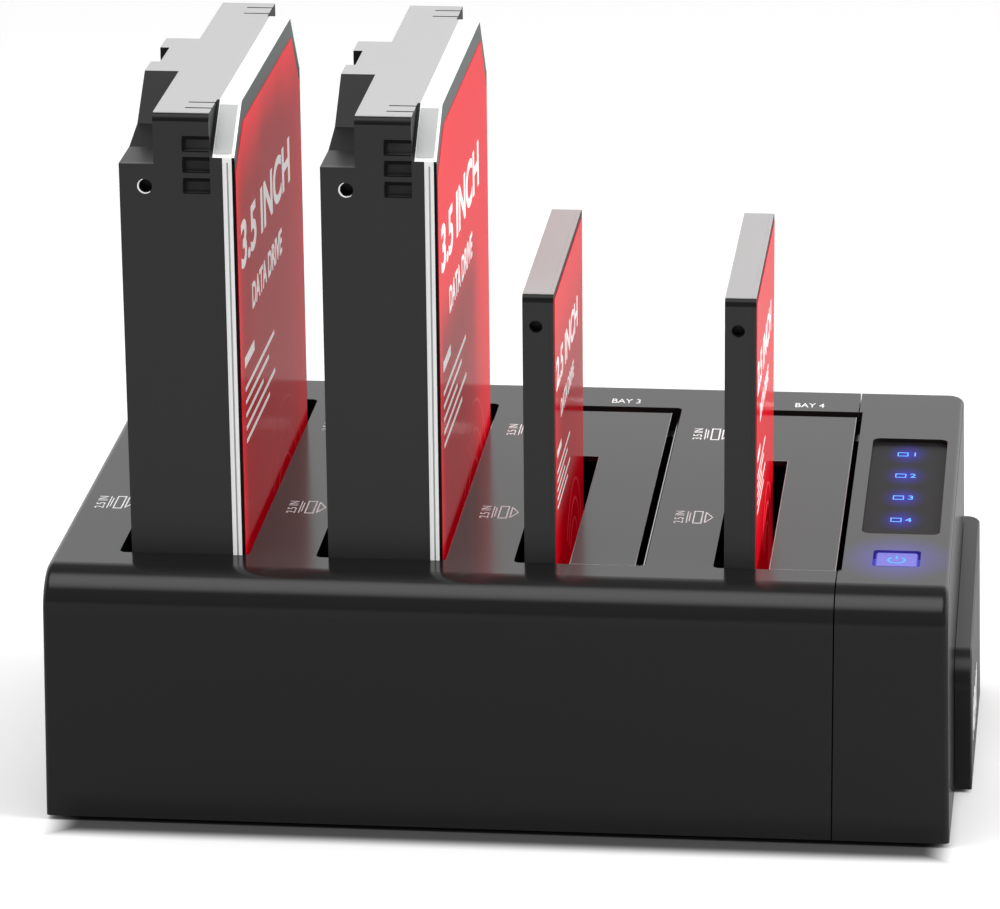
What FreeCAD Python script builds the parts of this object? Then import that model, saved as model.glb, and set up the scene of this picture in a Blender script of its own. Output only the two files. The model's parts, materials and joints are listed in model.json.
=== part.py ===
import FreeCAD, Part
import math
import os

import Sketcher
from FreeCAD import Placement, Rotation, Vector

# Four-bay drive duplicator: a wedge-shaped dock with two 3.5 inch and two 2.5 inch drives in it.
#
# Every piece is drawn in the deck frame: x runs along the row of bays, y from the front of the
# bays to the rear, z is the deck's normal, and the origin is the front left corner of bay 1 at
# deck height. The last step tilts the deck frame, because the housing is taller at the rear, and
# moves it so that the part stands on z = 0 with its box centred on the z axis.

doc = FreeCAD.newDocument("DriveDuplicator")
sheet = doc.addObject("Spreadsheet::Sheet", "Sizes")
sheet.set("A1", "name")
sheet.set("B1", "value in mm")
sheet.set("C1", "what it is")


# ---------------------------------------------------------------- sizes that carry their formula

class Size:
    """A number together with the sheet expression that it comes from."""

    def __init__(self, value, text):
        self.value = float(value)
        self.text = text

    def __add__(self, other):
        other = as_size(other)
        return Size(self.value + other.value, f"({self.text} + {other.text})")

    def __sub__(self, other):
        other = as_size(other)
        return Size(self.value - other.value, f"({self.text} - {other.text})")

    def __mul__(self, other):
        other = as_size(other)
        return Size(self.value * other.value, f"({self.text} * {other.text})")

    def __truediv__(self, other):
        other = as_size(other)
        return Size(self.value / other.value, f"({self.text} / {other.text})")

    def __radd__(self, other):
        return as_size(other) + self

    def __rsub__(self, other):
        return as_size(other) - self

    def __rmul__(self, other):
        return as_size(other) * self

    def __neg__(self):
        return Size(-self.value, f"(0 - {self.text})")


def as_size(number):
    """Wrap a plain number, so that it can be mixed with sizes."""
    if isinstance(number, Size):
        return number
    return Size(number, f"({float(number):g})")


aliases = []


def size(alias, value, note):
    """Put one driving dimension in the sheet and hand it back as a Size."""
    aliases.append(alias)
    row = len(aliases) + 1
    sheet.set(f"A{row}", alias)
    sheet.set(f"B{row}", str(value))
    sheet.set(f"C{row}", note)
    sheet.setAlias(f"B{row}", alias)
    return Size(value, f"Sizes.{alias}")


# ---------------------------------------------------------------------------- driving dimensions

# deck and bays
bay_pitch = size("bay_pitch", 45.4, "left edge of one bay to the next")
bay_width = size("bay_width", 30.0, "bay opening, across")
bay_length = size("bay_length", 114.0, "bay opening, front to rear")
bay_corner = size("bay_corner", 1.5, "corner radius of a bay opening")
bay_rim = size("bay_rim", 0.4, "rounding of a bay's upper rim")
deck_thickness = size("deck_thickness", 2.0, "wall under the deck")
left_margin = size("left_margin", 15.1, "bay 1 to the outside of the left wall")
front_margin = size("front_margin", 16.0, "bays to the outside of the front wall")
rear_margin = size("rear_margin", 16.0, "bays to the outside of the rear wall")
# housing
wall = size("wall", 2.2, "outer wall of the housings")
front_height = size("front_height", 59.1, "deck to the lower edge, at the front")
rear_height = size("rear_height", 75.7, "deck to the lower edge, at the rear")
side_draft = size("side_draft", 1.2, "how far a side leans out over front_height")
front_round = size("front_round", 8.7, "radius between deck and front")
rim_round = size("rim_round", 1.4, "radius along the deck's sides and rear and the front corners")
rear_corner = size("rear_corner", 4.0, "upright corners at the rear")
seam_at = size("seam_at", 164.2, "bay 1 to the seam of the control housing")
seam_gap = size("seam_gap", 0.3, "gap at the seam")
control_width = size("control_width", 25.6, "seam to the outside of the right wall")
bay_notch = size("bay_notch", 1.1, "how far the last bay reaches into the control housing")
# control section
window_left = size("window_left", 4.5, "seam to the display window")
window_width = size("window_width", 18.0, "display window, across")
window_front = size("window_front", 26.0, "front of the bays to the window")
window_length = size("window_length", 68.5, "display window, front to rear")
window_corner = size("window_corner", 2.0, "corner radius of the window")
window_depth = size("window_depth", 1.0, "deck to the lens")
lens_thickness = size("lens_thickness", 1.0, "display lens")
lens_lip = size("lens_lip", 0.9, "how far the lens reaches under the deck")
button_left = size("button_left", 7.8, "seam to the button opening")
button_front = size("button_front", 4.0, "front of the bays to the button opening")
button_opening = size("button_opening", 10.8, "side of the button opening")
button_gap = size("button_gap", 0.6, "gap round the button")
button_travel = size("button_travel", 0.8, "how far the button goes down")
button_skirt = size("button_skirt", 2.7, "height of the button")
button_flange = size("button_flange", 1.3, "how far the button's flange reaches out")
# side pod
pod_front = size("pod_front", 30.0, "front of the bays to the pod")
pod_length = size("pod_length", 92.5, "pod, front to rear")
pod_top = size("pod_top", 32.2, "deck to the pod's top, at its front")
pod_rise = size("pod_rise", 3.0, "how much higher the pod's top is at its rear")
pod_drop = size("pod_drop", 0.3, "how far the pod reaches below the housing's lower edge")
pod_width = size("pod_width", 4.0, "how far the pod stands out")
pod_round = size("pod_round", 8.0, "radius at the pod's upper front")
pod_corner = size("pod_corner", 3.4, "radius of the pod's upright rear corner")
pod_edge = size("pod_edge", 0.4, "chamfer along the pod's outer edge")
# flaps
flap_thickness = size("flap_thickness", 1.4, "flap plate")
flap_sink = size("flap_sink", 0.15, "deck to the flap's top")
flap_reach = size("flap_reach", 27.8, "bay's left edge to the flap's right edge")
flap_side_gap = size("flap_side_gap", 0.45, "gap at the flap's left and front edges")
flap_rear_gap = size("flap_rear_gap", 3.8, "gap at the flap's rear edge")
notch_width = size("notch_width", 12.7, "notch for a 2.5 inch drive, across")
notch_length = size("notch_length", 76.0, "notch, front to rear")
flap_swing = 88.0   # degrees from closed to fully open
pin_radius = size("pin_radius", 0.75, "flap pin")
pin_clearance = size("pin_clearance", 0.05, "radial clearance of a flap pin in its liner")
knuckle_radius = size("knuckle_radius", 1.25, "flap knuckle")
pin_x = size("pin_x", 32.55, "bay's left edge to the flap pin")
pin_depth = size("pin_depth", 3.4, "deck to the flap pin")
knuckle_length = size("knuckle_length", 5.0, "length of a flap knuckle")
knuckle_inset = size("knuckle_inset", 6.0, "front of the bay to the first knuckle")
# liners
liner_wall = size("liner_wall", 1.4, "wall of a bay liner")
liner_right = size("liner_right", 34.4, "bay's left edge to the liner's right wall")
liner_gap = size("liner_gap", 0.3, "deck to the top of the liner")
liner_depth = size("liner_depth", 46.0, "deck to the underside of the liner")
liner_side = size("liner_side", 9.0, "deck to the top of the liner's right wall")
guide_rib = size("guide_rib", 2.2, "height of the guide ribs in a liner")
# boards and sockets
board_thickness = size("board_thickness", 1.6, "circuit boards")
board_depth = size("board_depth", 47.9, "deck to the top of the main board")
socket_x = size("socket_x", 5.5, "bay's left edge to the middle of the socket")
socket_front = size("socket_front", 10.0, "front of the bay to the socket")
socket_length = size("socket_length", 42.0, "drive socket, front to rear")
socket_width = size("socket_width", 5.2, "drive socket, across")
socket_top = size("socket_top", 36.9, "deck to the socket's mating face")
blade_width = size("blade_width", 1.2, "contact blade of a socket")
blade_height = size("blade_height", 5.0, "contact blade above the mating face")
signal_blade = size("signal_blade", 10.4, "length of the signal blade")
power_blade = size("power_blade", 21.4, "length of the power blade")
blade_inset = size("blade_inset", 4.0, "end of the socket to the signal blade")
blade_space = size("blade_space", 3.0, "between the two blades")
port_height = size("port_height", 11.0, "rear ports above the main board")
usb_width = size("usb_width", 12.2, "data port, across")
usb_left = size("usb_left", 52.0, "bay 1 to the data port")
jack_width = size("jack_width", 9.2, "power jack, across")
jack_left = size("jack_left", 22.0, "bay 1 to the power jack")
port_length = size("port_length", 13.8, "rear ports, front to rear")
port_gap = size("port_gap", 0.3, "gap round a rear port")
# base
base_thickness = size("base_thickness", 2.0, "base plate")
base_recess = size("base_recess", 0.6, "lower edge of the housing to the base plate")
base_gap = size("base_gap", 0.3, "base plate to the walls")
foot_radius = size("foot_radius", 5.5, "rubber foot")
foot_height = size("foot_height", 1.6, "rubber foot")
foot_front = size("foot_front", 9.0, "front wall to the first row of feet")
foot_rear = size("foot_rear", 13.0, "rear wall to the second row of feet")
foot_side = size("foot_side", 23.0, "side walls to the outer feet")
screw_radius = size("screw_radius", 1.25, "shank of a housing screw")
head_radius = size("head_radius", 2.6, "head of a housing screw")
head_height = size("head_height", 1.1, "head of a housing screw")
boss_width = size("boss_width", 6.4, "square screw boss in a housing")
post_width = size("post_width", 4.0, "square post under a circuit board")
# 3.5 inch drive
big_length = size("big_length", 147.0, "3.5 inch drive, connector end to far end")
big_width = size("big_width", 101.6, "3.5 inch drive, width")
big_thickness = size("big_thickness", 26.1, "3.5 inch drive, thickness")
big_left = size("big_left", 2.9, "bay's left edge to a 3.5 inch drive")
big_seat = size("big_seat", 43.0, "deck to the connector end of a 3.5 inch drive")
big_cover = size("big_cover", 1.5, "cover plate of a 3.5 inch drive")
bevel_length = size("bevel_length", 12.8, "sloped upper corners of a 3.5 inch drive, front to rear")
front_bevel = size("front_bevel", 10.0, "sloped upper front corner, up and down")
rear_bevel = size("rear_bevel", 15.5, "sloped upper rear corner, up and down")
# 2.5 inch drive
small_length = size("small_length", 100.2, "2.5 inch drive, connector end to far end")
small_width = size("small_width", 69.85, "2.5 inch drive, width")
small_thickness = size("small_thickness", 7.0, "2.5 inch drive, thickness")
small_left = size("small_left", 2.5, "bay's left edge to a 2.5 inch drive")
small_seat = size("small_seat", 36.6, "deck to the connector end of a 2.5 inch drive")
small_cover = size("small_cover", 0.9, "cover plate of a 2.5 inch drive")
drive_front = size("drive_front", 0.5, "front of a bay to a drive")
label_thickness = size("label_thickness", 0.15, "drive label")
label_top = size("label_top", 5.2, "top of a 3.5 inch drive to its label")
label_inset = size("label_inset", 1.0, "sides of a cover to the label")
fit_gap = size("fit_gap", 0.3, "gap between pieces that are set against each other")

doc.recompute()

bay_count = 4
last_bay = bay_count - 1

# worked out from the driving dimensions
front_y = -front_margin
rear_y = bay_length + rear_margin
depth = front_margin + bay_length + rear_margin
right_x = seam_at + control_width
rear_draft = side_draft * rear_height / front_height
left_foot_x = -left_margin - rear_draft
right_foot_x = right_x + rear_draft
tilt = math.degrees(math.atan((rear_height.value - front_height.value) / depth.value))


# --------------------------------------------------------------------------- drawing and checking

def origin_plane(body, role):
    """One of a body's own origin planes, found by its role."""
    return [each for each in body.Origin.OriginFeatures if each.Role == role][0]


def new_body(name):
    body = doc.addObject("PartDesign::Body", name)
    body.Label = name
    return body


def new_sketch(body, name, plane, height):
    """A sketch parallel to an origin plane, at a height along the positive global axis."""
    sketch = body.newObject("Sketcher::SketchObject", name)
    sketch.AttachmentSupport = [(origin_plane(body, plane + "_Plane"), "")]
    sketch.MapMode = "FlatFace"
    along_normal = -as_size(height) if plane == "XZ" else as_size(height)
    sketch.setExpression("AttachmentOffset.Base.z", along_normal.text)
    return sketch


def pin_point(sketch, item, end, x, y):
    """Hold one end of a line or an arc's centre at sheet-driven coordinates."""
    for kind, value in (("DistanceX", x), ("DistanceY", y)):
        number = sketch.addConstraint(Sketcher.Constraint(kind, -1, 1, item, end, value.value))
        sketch.setExpression(f"Constraints[{number}]", value.text)


def draw_outline(sketch, points):
    """A closed outline of straight lines through the given points."""
    points = [(as_size(x), as_size(y)) for x, y in points]
    first = sketch.GeometryCount
    count = len(points)
    for i, (x, y) in enumerate(points):
        next_x, next_y = points[(i + 1) % count]
        start = Vector(x.value, y.value, 0)
        end = Vector(next_x.value, next_y.value, 0)
        sketch.addGeometry(Part.LineSegment(start, end), False)
    for i in range(count):
        following = first + (i + 1) % count
        sketch.addConstraint(Sketcher.Constraint("Coincident", first + i, 2, following, 1))
    for i, (x, y) in enumerate(points):
        pin_point(sketch, first + i, 1, x, y)


def draw_circle(sketch, x, y, radius):
    x, y, radius = as_size(x), as_size(y), as_size(radius)
    item = sketch.addGeometry(Part.Circle(Vector(x.value, y.value, 0), Vector(0, 0, 1), radius.value))
    pin_point(sketch, item, 3, x, y)
    number = sketch.addConstraint(Sketcher.Constraint("Radius", item, radius.value))
    sketch.setExpression(f"Constraints[{number}]", radius.text)


def box_outline(x0, y0, x1, y1):
    return [(x0, y0), (x1, y0), (x1, y1), (x0, y1)]


def draw_shapes(sketch, shapes):
    """Each shape is an outline, or a circle given as (x, y, radius)."""
    for shape in shapes:
        if isinstance(shape, tuple):
            draw_circle(sketch, *shape)
        else:
            draw_outline(sketch, shape)


def pad(body, name, plane, shapes, low, high):
    """Add material between two heights along the plane's global axis."""
    start = high if plane == "XZ" else low
    sketch = new_sketch(body, name + "_sketch", plane, start)
    draw_shapes(sketch, shapes)
    feature = body.newObject("PartDesign::Pad", name)
    feature.Profile = sketch
    feature.setExpression("Length", (as_size(high) - low).text)
    doc.recompute()
    return feature


def pocket(body, name, plane, shapes, low, high):
    """Remove material between two heights, and make sure that something was removed."""
    before = body.Tip.Shape.Volume
    start = low if plane == "XZ" else high
    sketch = new_sketch(body, name + "_sketch", plane, start)
    draw_shapes(sketch, shapes)
    feature = body.newObject("PartDesign::Pocket", name)
    feature.Profile = sketch
    feature.setExpression("Length", (as_size(high) - low).text)
    doc.recompute()
    if feature.Shape.Volume > before - 1e-6:
        raise RuntimeError(f"{body.Name}: {name} removes nothing")
    return feature


def repeat(body, name, feature, axis, count, pitch):
    """Repeat a feature along a direction of its own sketch."""
    pattern = body.newObject("PartDesign::LinearPattern", name)
    pattern.Originals = [feature]
    pattern.Direction = (feature.Profile[0], [axis])
    pattern.Occurrences = count
    pattern.setExpression("Length", (as_size(pitch) * (count - 1)).text)
    body.Tip = pattern
    doc.recompute()
    return pattern


def round_edges(body, name, radius, wanted, kind="Fillet"):
    """Fillet or chamfer the edges of the body's tip that pass a test on their end points."""
    tip = body.Tip
    names = []
    for number, edge in enumerate(tip.Shape.Edges, 1):
        ends = [vertex.Point for vertex in edge.Vertexes]
        if len(ends) == 2 and wanted(edge, ends[0], ends[1]):
            names.append(f"Edge{number}")
    if not names:
        raise RuntimeError(f"{body.Name}: {name} finds no edge")
    feature = body.newObject("PartDesign::" + kind, name)
    feature.Base = (tip, names)
    feature.setExpression("Radius" if kind == "Fillet" else "Size", as_size(radius).text)
    doc.recompute()
    return feature


def near(a, b):
    b = b.value if isinstance(b, Size) else b
    return abs(a - b) < 0.02


def both(a, b, axis, value):
    """True where both ends of an edge have this coordinate."""
    return near(getattr(a, axis), value) and near(getattr(b, axis), value)


def upright(a, b):
    return near(a.x, b.x) and near(a.y, b.y)


def block(name, x0, y0, z0, x1, y1, z1):
    """A plain block between two corners."""
    box = doc.addObject("Part::Box", name)
    low = [as_size(each) for each in (x0, y0, z0)]
    high = [as_size(each) for each in (x1, y1, z1)]
    for side, axis, bottom, top in zip(("Length", "Width", "Height"), "xyz", low, high):
        box.setExpression(side, (top - bottom).text)
        box.setExpression(f"Placement.Base.{axis}", bottom.text)
    return box


def rod(name, x, y, z, radius, length, along="z"):
    """A cylinder that starts at a point and runs along one axis."""
    turns = {"x": Rotation(Vector(0, 1, 0), 90), "y": Rotation(Vector(1, 0, 0), -90),
             "z": Rotation()}
    cylinder = doc.addObject("Part::Cylinder", name)
    cylinder.Placement = Placement(Vector(), turns[along])
    cylinder.setExpression("Radius", as_size(radius).text)
    cylinder.setExpression("Height", as_size(length).text)
    for axis, value in zip("xyz", (x, y, z)):
        cylinder.setExpression(f"Placement.Base.{axis}", as_size(value).text)
    return cylinder


def join(name, pieces):
    fused = doc.addObject("Part::MultiFuse", name)
    fused.Shapes = pieces
    return fused


def group(name, pieces):
    """Separate solids of one node."""
    compound = doc.addObject("Part::Compound", name)
    compound.Links = pieces
    return compound


def cut(name, base, tools):
    tool = tools[0] if len(tools) == 1 else join(name + "_tools", tools)
    result = doc.addObject("Part::Cut", name)
    result.Base = base
    result.Tool = tool
    return result


nodes = {}    # node name -> (object, placement in the deck frame)


def add_node(thing, name, place=None):
    thing.Label = name
    nodes[name] = (thing, place or Placement())


# ------------------------------------------------------------------------------ shared outlines

def lower_edge(y):
    """Height of the housing's lower edge above or below the deck, at a place along y."""
    slope = (rear_height - front_height) / depth
    return -front_height - slope * (as_size(y) - front_y)


def side_profile():
    """The wedge seen from the right: level deck, lower edge falling towards the rear."""
    return [(front_y, lower_edge(front_y)), (front_y, 0), (rear_y, 0), (rear_y, lower_edge(rear_y))]


def cavity_profile():
    """Inside of the wedge, open below, with a sloped corner behind the large front radius."""
    inner_front = front_y + wall
    inner_rear = rear_y - wall
    below = -rear_height - wall
    return [(inner_front, below), (inner_front, -front_round), (front_y + front_round, -deck_thickness),
            (inner_rear, -deck_thickness), (inner_rear, below)]


def floor_band(raised, thickness, gap):
    """A band parallel to the lower edge, between the front and rear walls."""
    y0 = front_y + wall + gap
    y1 = rear_y - wall - gap
    low0 = lower_edge(y0) + raised
    low1 = lower_edge(y1) + raised
    return [(y0, low0), (y0, low0 + thickness), (y1, low1 + thickness), (y1, low1)]


def drafted_side(sign, edge_x):
    """Thin wedge outside a leaning side wall, seen from the front."""
    beyond = edge_x + sign * (rear_draft + 5)
    foot = edge_x + sign * rear_draft * 1.2
    head = edge_x - sign * rear_draft * 0.2
    over = rear_height * 0.2
    return [(head, over), (foot, -rear_height - over), (beyond, -rear_height - over), (beyond, over)]


boss_front = front_y + 8.0
boss_rear = rear_y - 8.5
boss_left = -left_margin + 7.5
boss_right = right_x - 11.6
boss_middle = bay_pitch + (bay_width + bay_pitch) / 2 - 21.1
boss_places_main = [(boss_left, boss_front), (boss_left, boss_rear), (boss_middle, boss_front)]
boss_places_control = [(boss_right, boss_front), (boss_right, boss_rear)]


def square_posts(places, width):
    """Square outlines centred on the given places."""
    half = width / 2
    return [box_outline(x - half, y - half, x + half, y + half) for x, y in places]


def octagon(x, y, radius):
    """Eight-sided outline of a screw hole."""
    long = radius * 0.924
    short = radius * 0.383
    return [(x + long, y + short), (x + short, y + long), (x - short, y + long), (x - long, y + short),
            (x - long, y - short), (x - short, y - long), (x + short, y - long), (x + long, y - short)]


def add_bosses(body, places):
    """Screw bosses from the deck down, cut off in line with the base plate."""
    pad(body, "bosses", "XY", square_posts(places, boss_width), -rear_height, -deck_thickness / 2)
    drop = rear_height - front_height
    band = floor_band(-drop, drop + base_recess + base_thickness + base_gap, 0)
    pocket(body, "floor_cut", "YZ", [band], -left_margin + wall, right_x - wall)
    holes = [octagon(x, y, screw_radius) for x, y in places]
    pocket(body, "screw_holes", "XY", holes, -rear_height, -front_height + 14)


def outer_rounds(body, outside_x):
    """Roundings shared by the two housings; outside_x is the free side at deck level."""
    def on_side(point):
        lean = rear_draft.value * abs(point.z) / rear_height.value
        return abs(abs(point.x - outside_x.value) - lean) < 0.05

    round_edges(body, "front_round", front_round,
                lambda edge, a, b: both(a, b, "y", front_y) and both(a, b, "z", 0))
    round_edges(body, "rear_corner", rear_corner,
                lambda edge, a, b: both(a, b, "y", rear_y) and on_side(a) and on_side(b))
    # one rounding runs on from the rear along the side and down the front corner
    round_edges(body, "rim_round", rim_round,
                lambda edge, a, b: both(a, b, "y", rear_y) and both(a, b, "z", 0))


# ------------------------------------------------------------------------------------- housings

def make_main_housing():
    """Deck, front, left and rear wall of the bay section, open below and towards the seam."""
    body = new_body("main_housing")
    pad(body, "wedge", "YZ", [side_profile()], left_foot_x - 1, seam_at)
    pocket(body, "draft", "XZ", [drafted_side(-1, -left_margin)], front_y - 1, rear_y + 1)
    outer_rounds(body, -left_margin)
    pocket(body, "cavity", "YZ", [cavity_profile()], -left_margin + wall, seam_at + 1)
    opening = box_outline(0, 0, bay_width, bay_length)
    first = pocket(body, "bay", "XY", [opening], -deck_thickness - 1, 1)
    repeat(body, "bays", first, "H_Axis", bay_count, bay_pitch)

    def bay_edge(edge, a, b):
        in_y = near(a.y, 0) or near(a.y, bay_length)
        return upright(a, b) and in_y and near(max(a.z, b.z), 0) and a.x > -1 and a.x < seam_at.value - 1

    round_edges(body, "bay_corners", bay_corner, bay_edge)
    usb = box_outline(usb_left - port_gap, -board_depth - port_gap,
                      usb_left + usb_width + port_gap, -board_depth + port_height + port_gap)
    jack = box_outline(jack_left - port_gap, -board_depth - port_gap,
                       jack_left + jack_width + port_gap, -board_depth + port_height + port_gap)
    pocket(body, "ports", "XZ", [usb, jack], rear_y - wall - 1, rear_y + 1)
    add_bosses(body, boss_places_main)
    add_node(body, "main_housing")


def make_control_housing():
    """Right end of the dock: its own moulding with the display window and the button opening."""
    body = new_body("control_housing")
    inner_left = seam_at + seam_gap
    pad(body, "wedge", "YZ", [side_profile()], inner_left, right_foot_x + 1)
    pocket(body, "draft", "XZ", [drafted_side(1, right_x)], front_y - 1, rear_y + 1)
    outer_rounds(body, right_x)
    pocket(body, "cavity", "YZ", [cavity_profile()], inner_left - 1, right_x - wall)
    notch = box_outline(inner_left - 1, 0, seam_at + bay_notch, bay_length)
    pocket(body, "bay_side", "XY", [notch], -deck_thickness - 1, 1)
    window_x0 = seam_at + window_left
    window = box_outline(window_x0, window_front, window_x0 + window_width, window_front + window_length)
    pocket(body, "window", "XY", [window], -deck_thickness - 1, 1)

    def window_edge(edge, a, b):
        in_x = near(a.x, window_x0) or near(a.x, window_x0 + window_width)
        in_y = near(a.y, window_front) or near(a.y, window_front + window_length)
        return upright(a, b) and in_x and in_y

    round_edges(body, "window_corners", window_corner, window_edge)
    rebate = box_outline(window_x0 - lens_lip, window_front - lens_lip,
                         window_x0 + window_width + lens_lip, window_front + window_length + lens_lip)
    pocket(body, "rebate", "XY", [rebate], -deck_thickness - 1, -window_depth)
    button_x0 = seam_at + button_left
    button = box_outline(button_x0, button_front, button_x0 + button_opening, button_front + button_opening)
    pocket(body, "button_hole", "XY", [button], -deck_thickness - 1, 1)

    def button_edge(edge, a, b):
        in_x = near(a.x, button_x0) or near(a.x, button_x0 + button_opening)
        in_y = near(a.y, button_front) or near(a.y, button_front + button_opening)
        return upright(a, b) and in_x and in_y

    round_edges(body, "button_corners", button_gap + 0.4, button_edge)
    places = [(x, y) for x in (173.4, 184.9) for y in (20.0, 98.0)]
    pad(body, "board_posts", "XY", square_posts(places, post_width), fit_gap - control_board_top, -deck_thickness / 2)
    add_bosses(body, boss_places_control)
    add_node(body, "control_housing")


control_board_top = deck_thickness + 2.8


def make_side_pod():
    """Low rounded pod on the right wall, its lower edge in line with the housing's."""
    body = new_body("side_pod")
    y0 = pod_front
    y1 = pod_front + pod_length
    low0 = lower_edge(y0) - pod_drop
    low1 = lower_edge(y1) - pod_drop
    high = pod_rise - pod_top
    profile = [(y0, low0), (y0, -pod_top), (y1, high), (y1, low1)]
    outer_top = right_x + pod_width
    pad(body, "block", "YZ", [profile], right_x, right_foot_x + pod_width)
    lean = rear_draft / rear_height
    wall_top = right_x + 0.1
    inner = [(right_x - 5, 0), (wall_top, 0), (wall_top + rear_draft, -rear_height), (right_x - 5, -rear_height)]
    pocket(body, "wall_side", "XZ", [inner], y0 - 1, y1 + 1)
    outer = [(outer_top, 0), (outer_top + lean * rear_height, -rear_height),
             (outer_top + 9, -rear_height), (outer_top + 9, 0)]
    pocket(body, "outer_side", "XZ", [outer], y0 - 1, y1 + 1)

    def outside(point):
        return abs(point.x - (outer_top.value - lean.value * point.z)) < 0.05

    round_edges(body, "front_round", pod_round,
                lambda edge, a, b: both(a, b, "y", y0) and both(a, b, "z", -pod_top))
    round_edges(body, "rear_side", pod_corner,
                lambda edge, a, b: outside(a) and outside(b) and near(a.y, y1) and near(b.y, y1))
    # the chamfer follows the top edge down the front and round the rear corner
    round_edges(body, "outer_edge", pod_edge,
                lambda edge, a, b: outside(a) and outside(b) and min(a.z, b.z) > -pod_top.value - 0.5
                and abs(a.y - b.y) > 20, "Chamfer")
    add_node(body, "side_pod")


def make_base_plate():
    """Bottom cover: sloped sheet with board posts, foot recesses, vents and screw holes."""
    body = new_body("base_plate")
    x0 = -left_margin + wall + base_gap
    x1 = right_x - wall - base_gap
    pad(body, "sheet", "YZ", [floor_band(base_recess, base_thickness, base_gap)], x0, x1)
    posts = square_posts([(x, y) for x in board_post_x for y in board_post_y], post_width)
    board_under = -board_depth - board_thickness - fit_gap
    pad(body, "posts", "XY", posts, -rear_height - 10, board_under)
    under = floor_band(base_recess - 40, 40, -2)
    pocket(body, "trim_posts", "YZ", [under], x0 - 1, x1 + 1)
    places = boss_places_main + boss_places_control
    holes = [octagon(x, y, screw_radius + 0.35) for x, y in places]
    pocket(body, "screw_holes", "XY", holes, -rear_height - 5, board_under)
    first_vent = box_outline(34, bay_length / 2 - 27, 36, bay_length / 2 + 21)
    vent = pocket(body, "vent", "XY", [first_vent], -rear_height - 5, board_under - 0.1)
    repeat(body, "vents", vent, "H_Axis", 12, 7)
    add_node(body, "base_plate")


board_post_x = (2.0, 72.0, 152.0)
board_post_y = (8.0, bay_length + 5.0)


def make_feet():
    """Six rubber feet, square to the sloped base."""
    pieces = []
    left = -left_margin + foot_side
    right = right_x - foot_side
    rows = (front_y + foot_front, rear_y - foot_rear)
    spots = [(x, y) for x in (left, (left + right) / 2, right) for y in rows]
    turned = Rotation(Vector(1, 0, 0), -tilt)
    for number, (x, y) in enumerate(spots):
        foot = doc.addObject("Part::Cylinder", f"foot_{number}")
        foot.setExpression("Radius", foot_radius.text)
        foot.setExpression("Height", foot_height.text)
        top = lower_edge(y).value + base_recess.value - 0.05
        drop = turned.multVec(Vector(0, 0, -foot_height.value))
        foot.Placement = Placement(Vector(x.value, y.value, top) + drop, turned)
        pieces.append(foot)
    add_node(group("rubber_feet", pieces), "rubber_feet")


# ---------------------------------------------------------------------------- control section

def make_control_parts():
    window_x0 = seam_at + window_left
    lens = block("lens_sheet", window_x0 - lens_lip + 0.1, window_front - lens_lip + 0.1,
                 -window_depth - lens_thickness, window_x0 + window_width + lens_lip - 0.1,
                 window_front + window_length + lens_lip - 0.1, -window_depth)
    add_node(group("display_lens", [lens]), "display_lens")

    board_x0 = seam_at + 7.0
    board_x1 = right_x - wall - 0.6
    top = -control_board_top
    board = block("control_sheet", board_x0, 2.0, top - board_thickness, board_x1, 101.0, top)
    add_node(group("control_board", [board]), "control_board")

    lights = []
    middle = window_x0 + window_width / 2
    for number in range(bay_count):
        y = window_front + 11.6 + 15.8 * number
        lights.append(block(f"light_{number}", middle - 1.75, y - 1.4, top, middle + 1.75, y + 1.4, top + 1.4))
    add_node(group("status_lights", lights), "status_lights")

    button_x = seam_at + button_left + button_opening / 2
    button_y = button_front + button_opening / 2
    body = block("switch_body", button_x - 3, button_y - 3, top, button_x + 3, button_y + 3, top + 1.2)
    plunger = rod("switch_plunger", button_x, button_y, top + 1.2, 1.2, 1.0)
    add_node(join("power_switch", [body, plunger]), "power_switch")

    add_node(make_button(button_x, button_y), "power_button")

    outer = button_opening / 2 + 1.7
    inner = button_opening / 2 + 1.0
    shield = cut("light_shield",
                 block("shield_outer", button_x - outer, button_y - outer, top,
                       button_x + outer, button_y + outer, -deck_thickness - 0.1),
                 [block("shield_inner", button_x - inner, button_y - inner, top - 1,
                        button_x + inner, button_y + inner, 0)])
    add_node(shield, "light_shield")


def make_button(middle_x, middle_y):
    """Square push button: a hollow cap with a flange that keeps it under the deck."""
    body = new_body("power_button")
    half = button_opening / 2 - button_gap
    top = -as_size(0.3)
    low = top - button_skirt
    cap = box_outline(middle_x - half, middle_y - half, middle_x + half, middle_y + half)
    pad(body, "cap", "XY", [cap], low, top)
    round_edges(body, "cap_corners", 0.8, lambda edge, a, b: upright(a, b))
    round_edges(body, "cap_rim", 0.3, lambda edge, a, b: both(a, b, "z", top), "Chamfer")
    wide = half + button_flange
    flange = box_outline(middle_x - wide, middle_y - wide, middle_x + wide, middle_y + wide)
    pad(body, "flange", "XY", [flange], low, low + 0.7)
    inside = half - 1.0
    hollow = box_outline(middle_x - inside, middle_y - inside, middle_x + inside, middle_y + inside)
    pocket(body, "hollow", "XY", [hollow], low - 1, top - 1.2)
    return body


# ---------------------------------------------------------------------------- one set per bay

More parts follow.
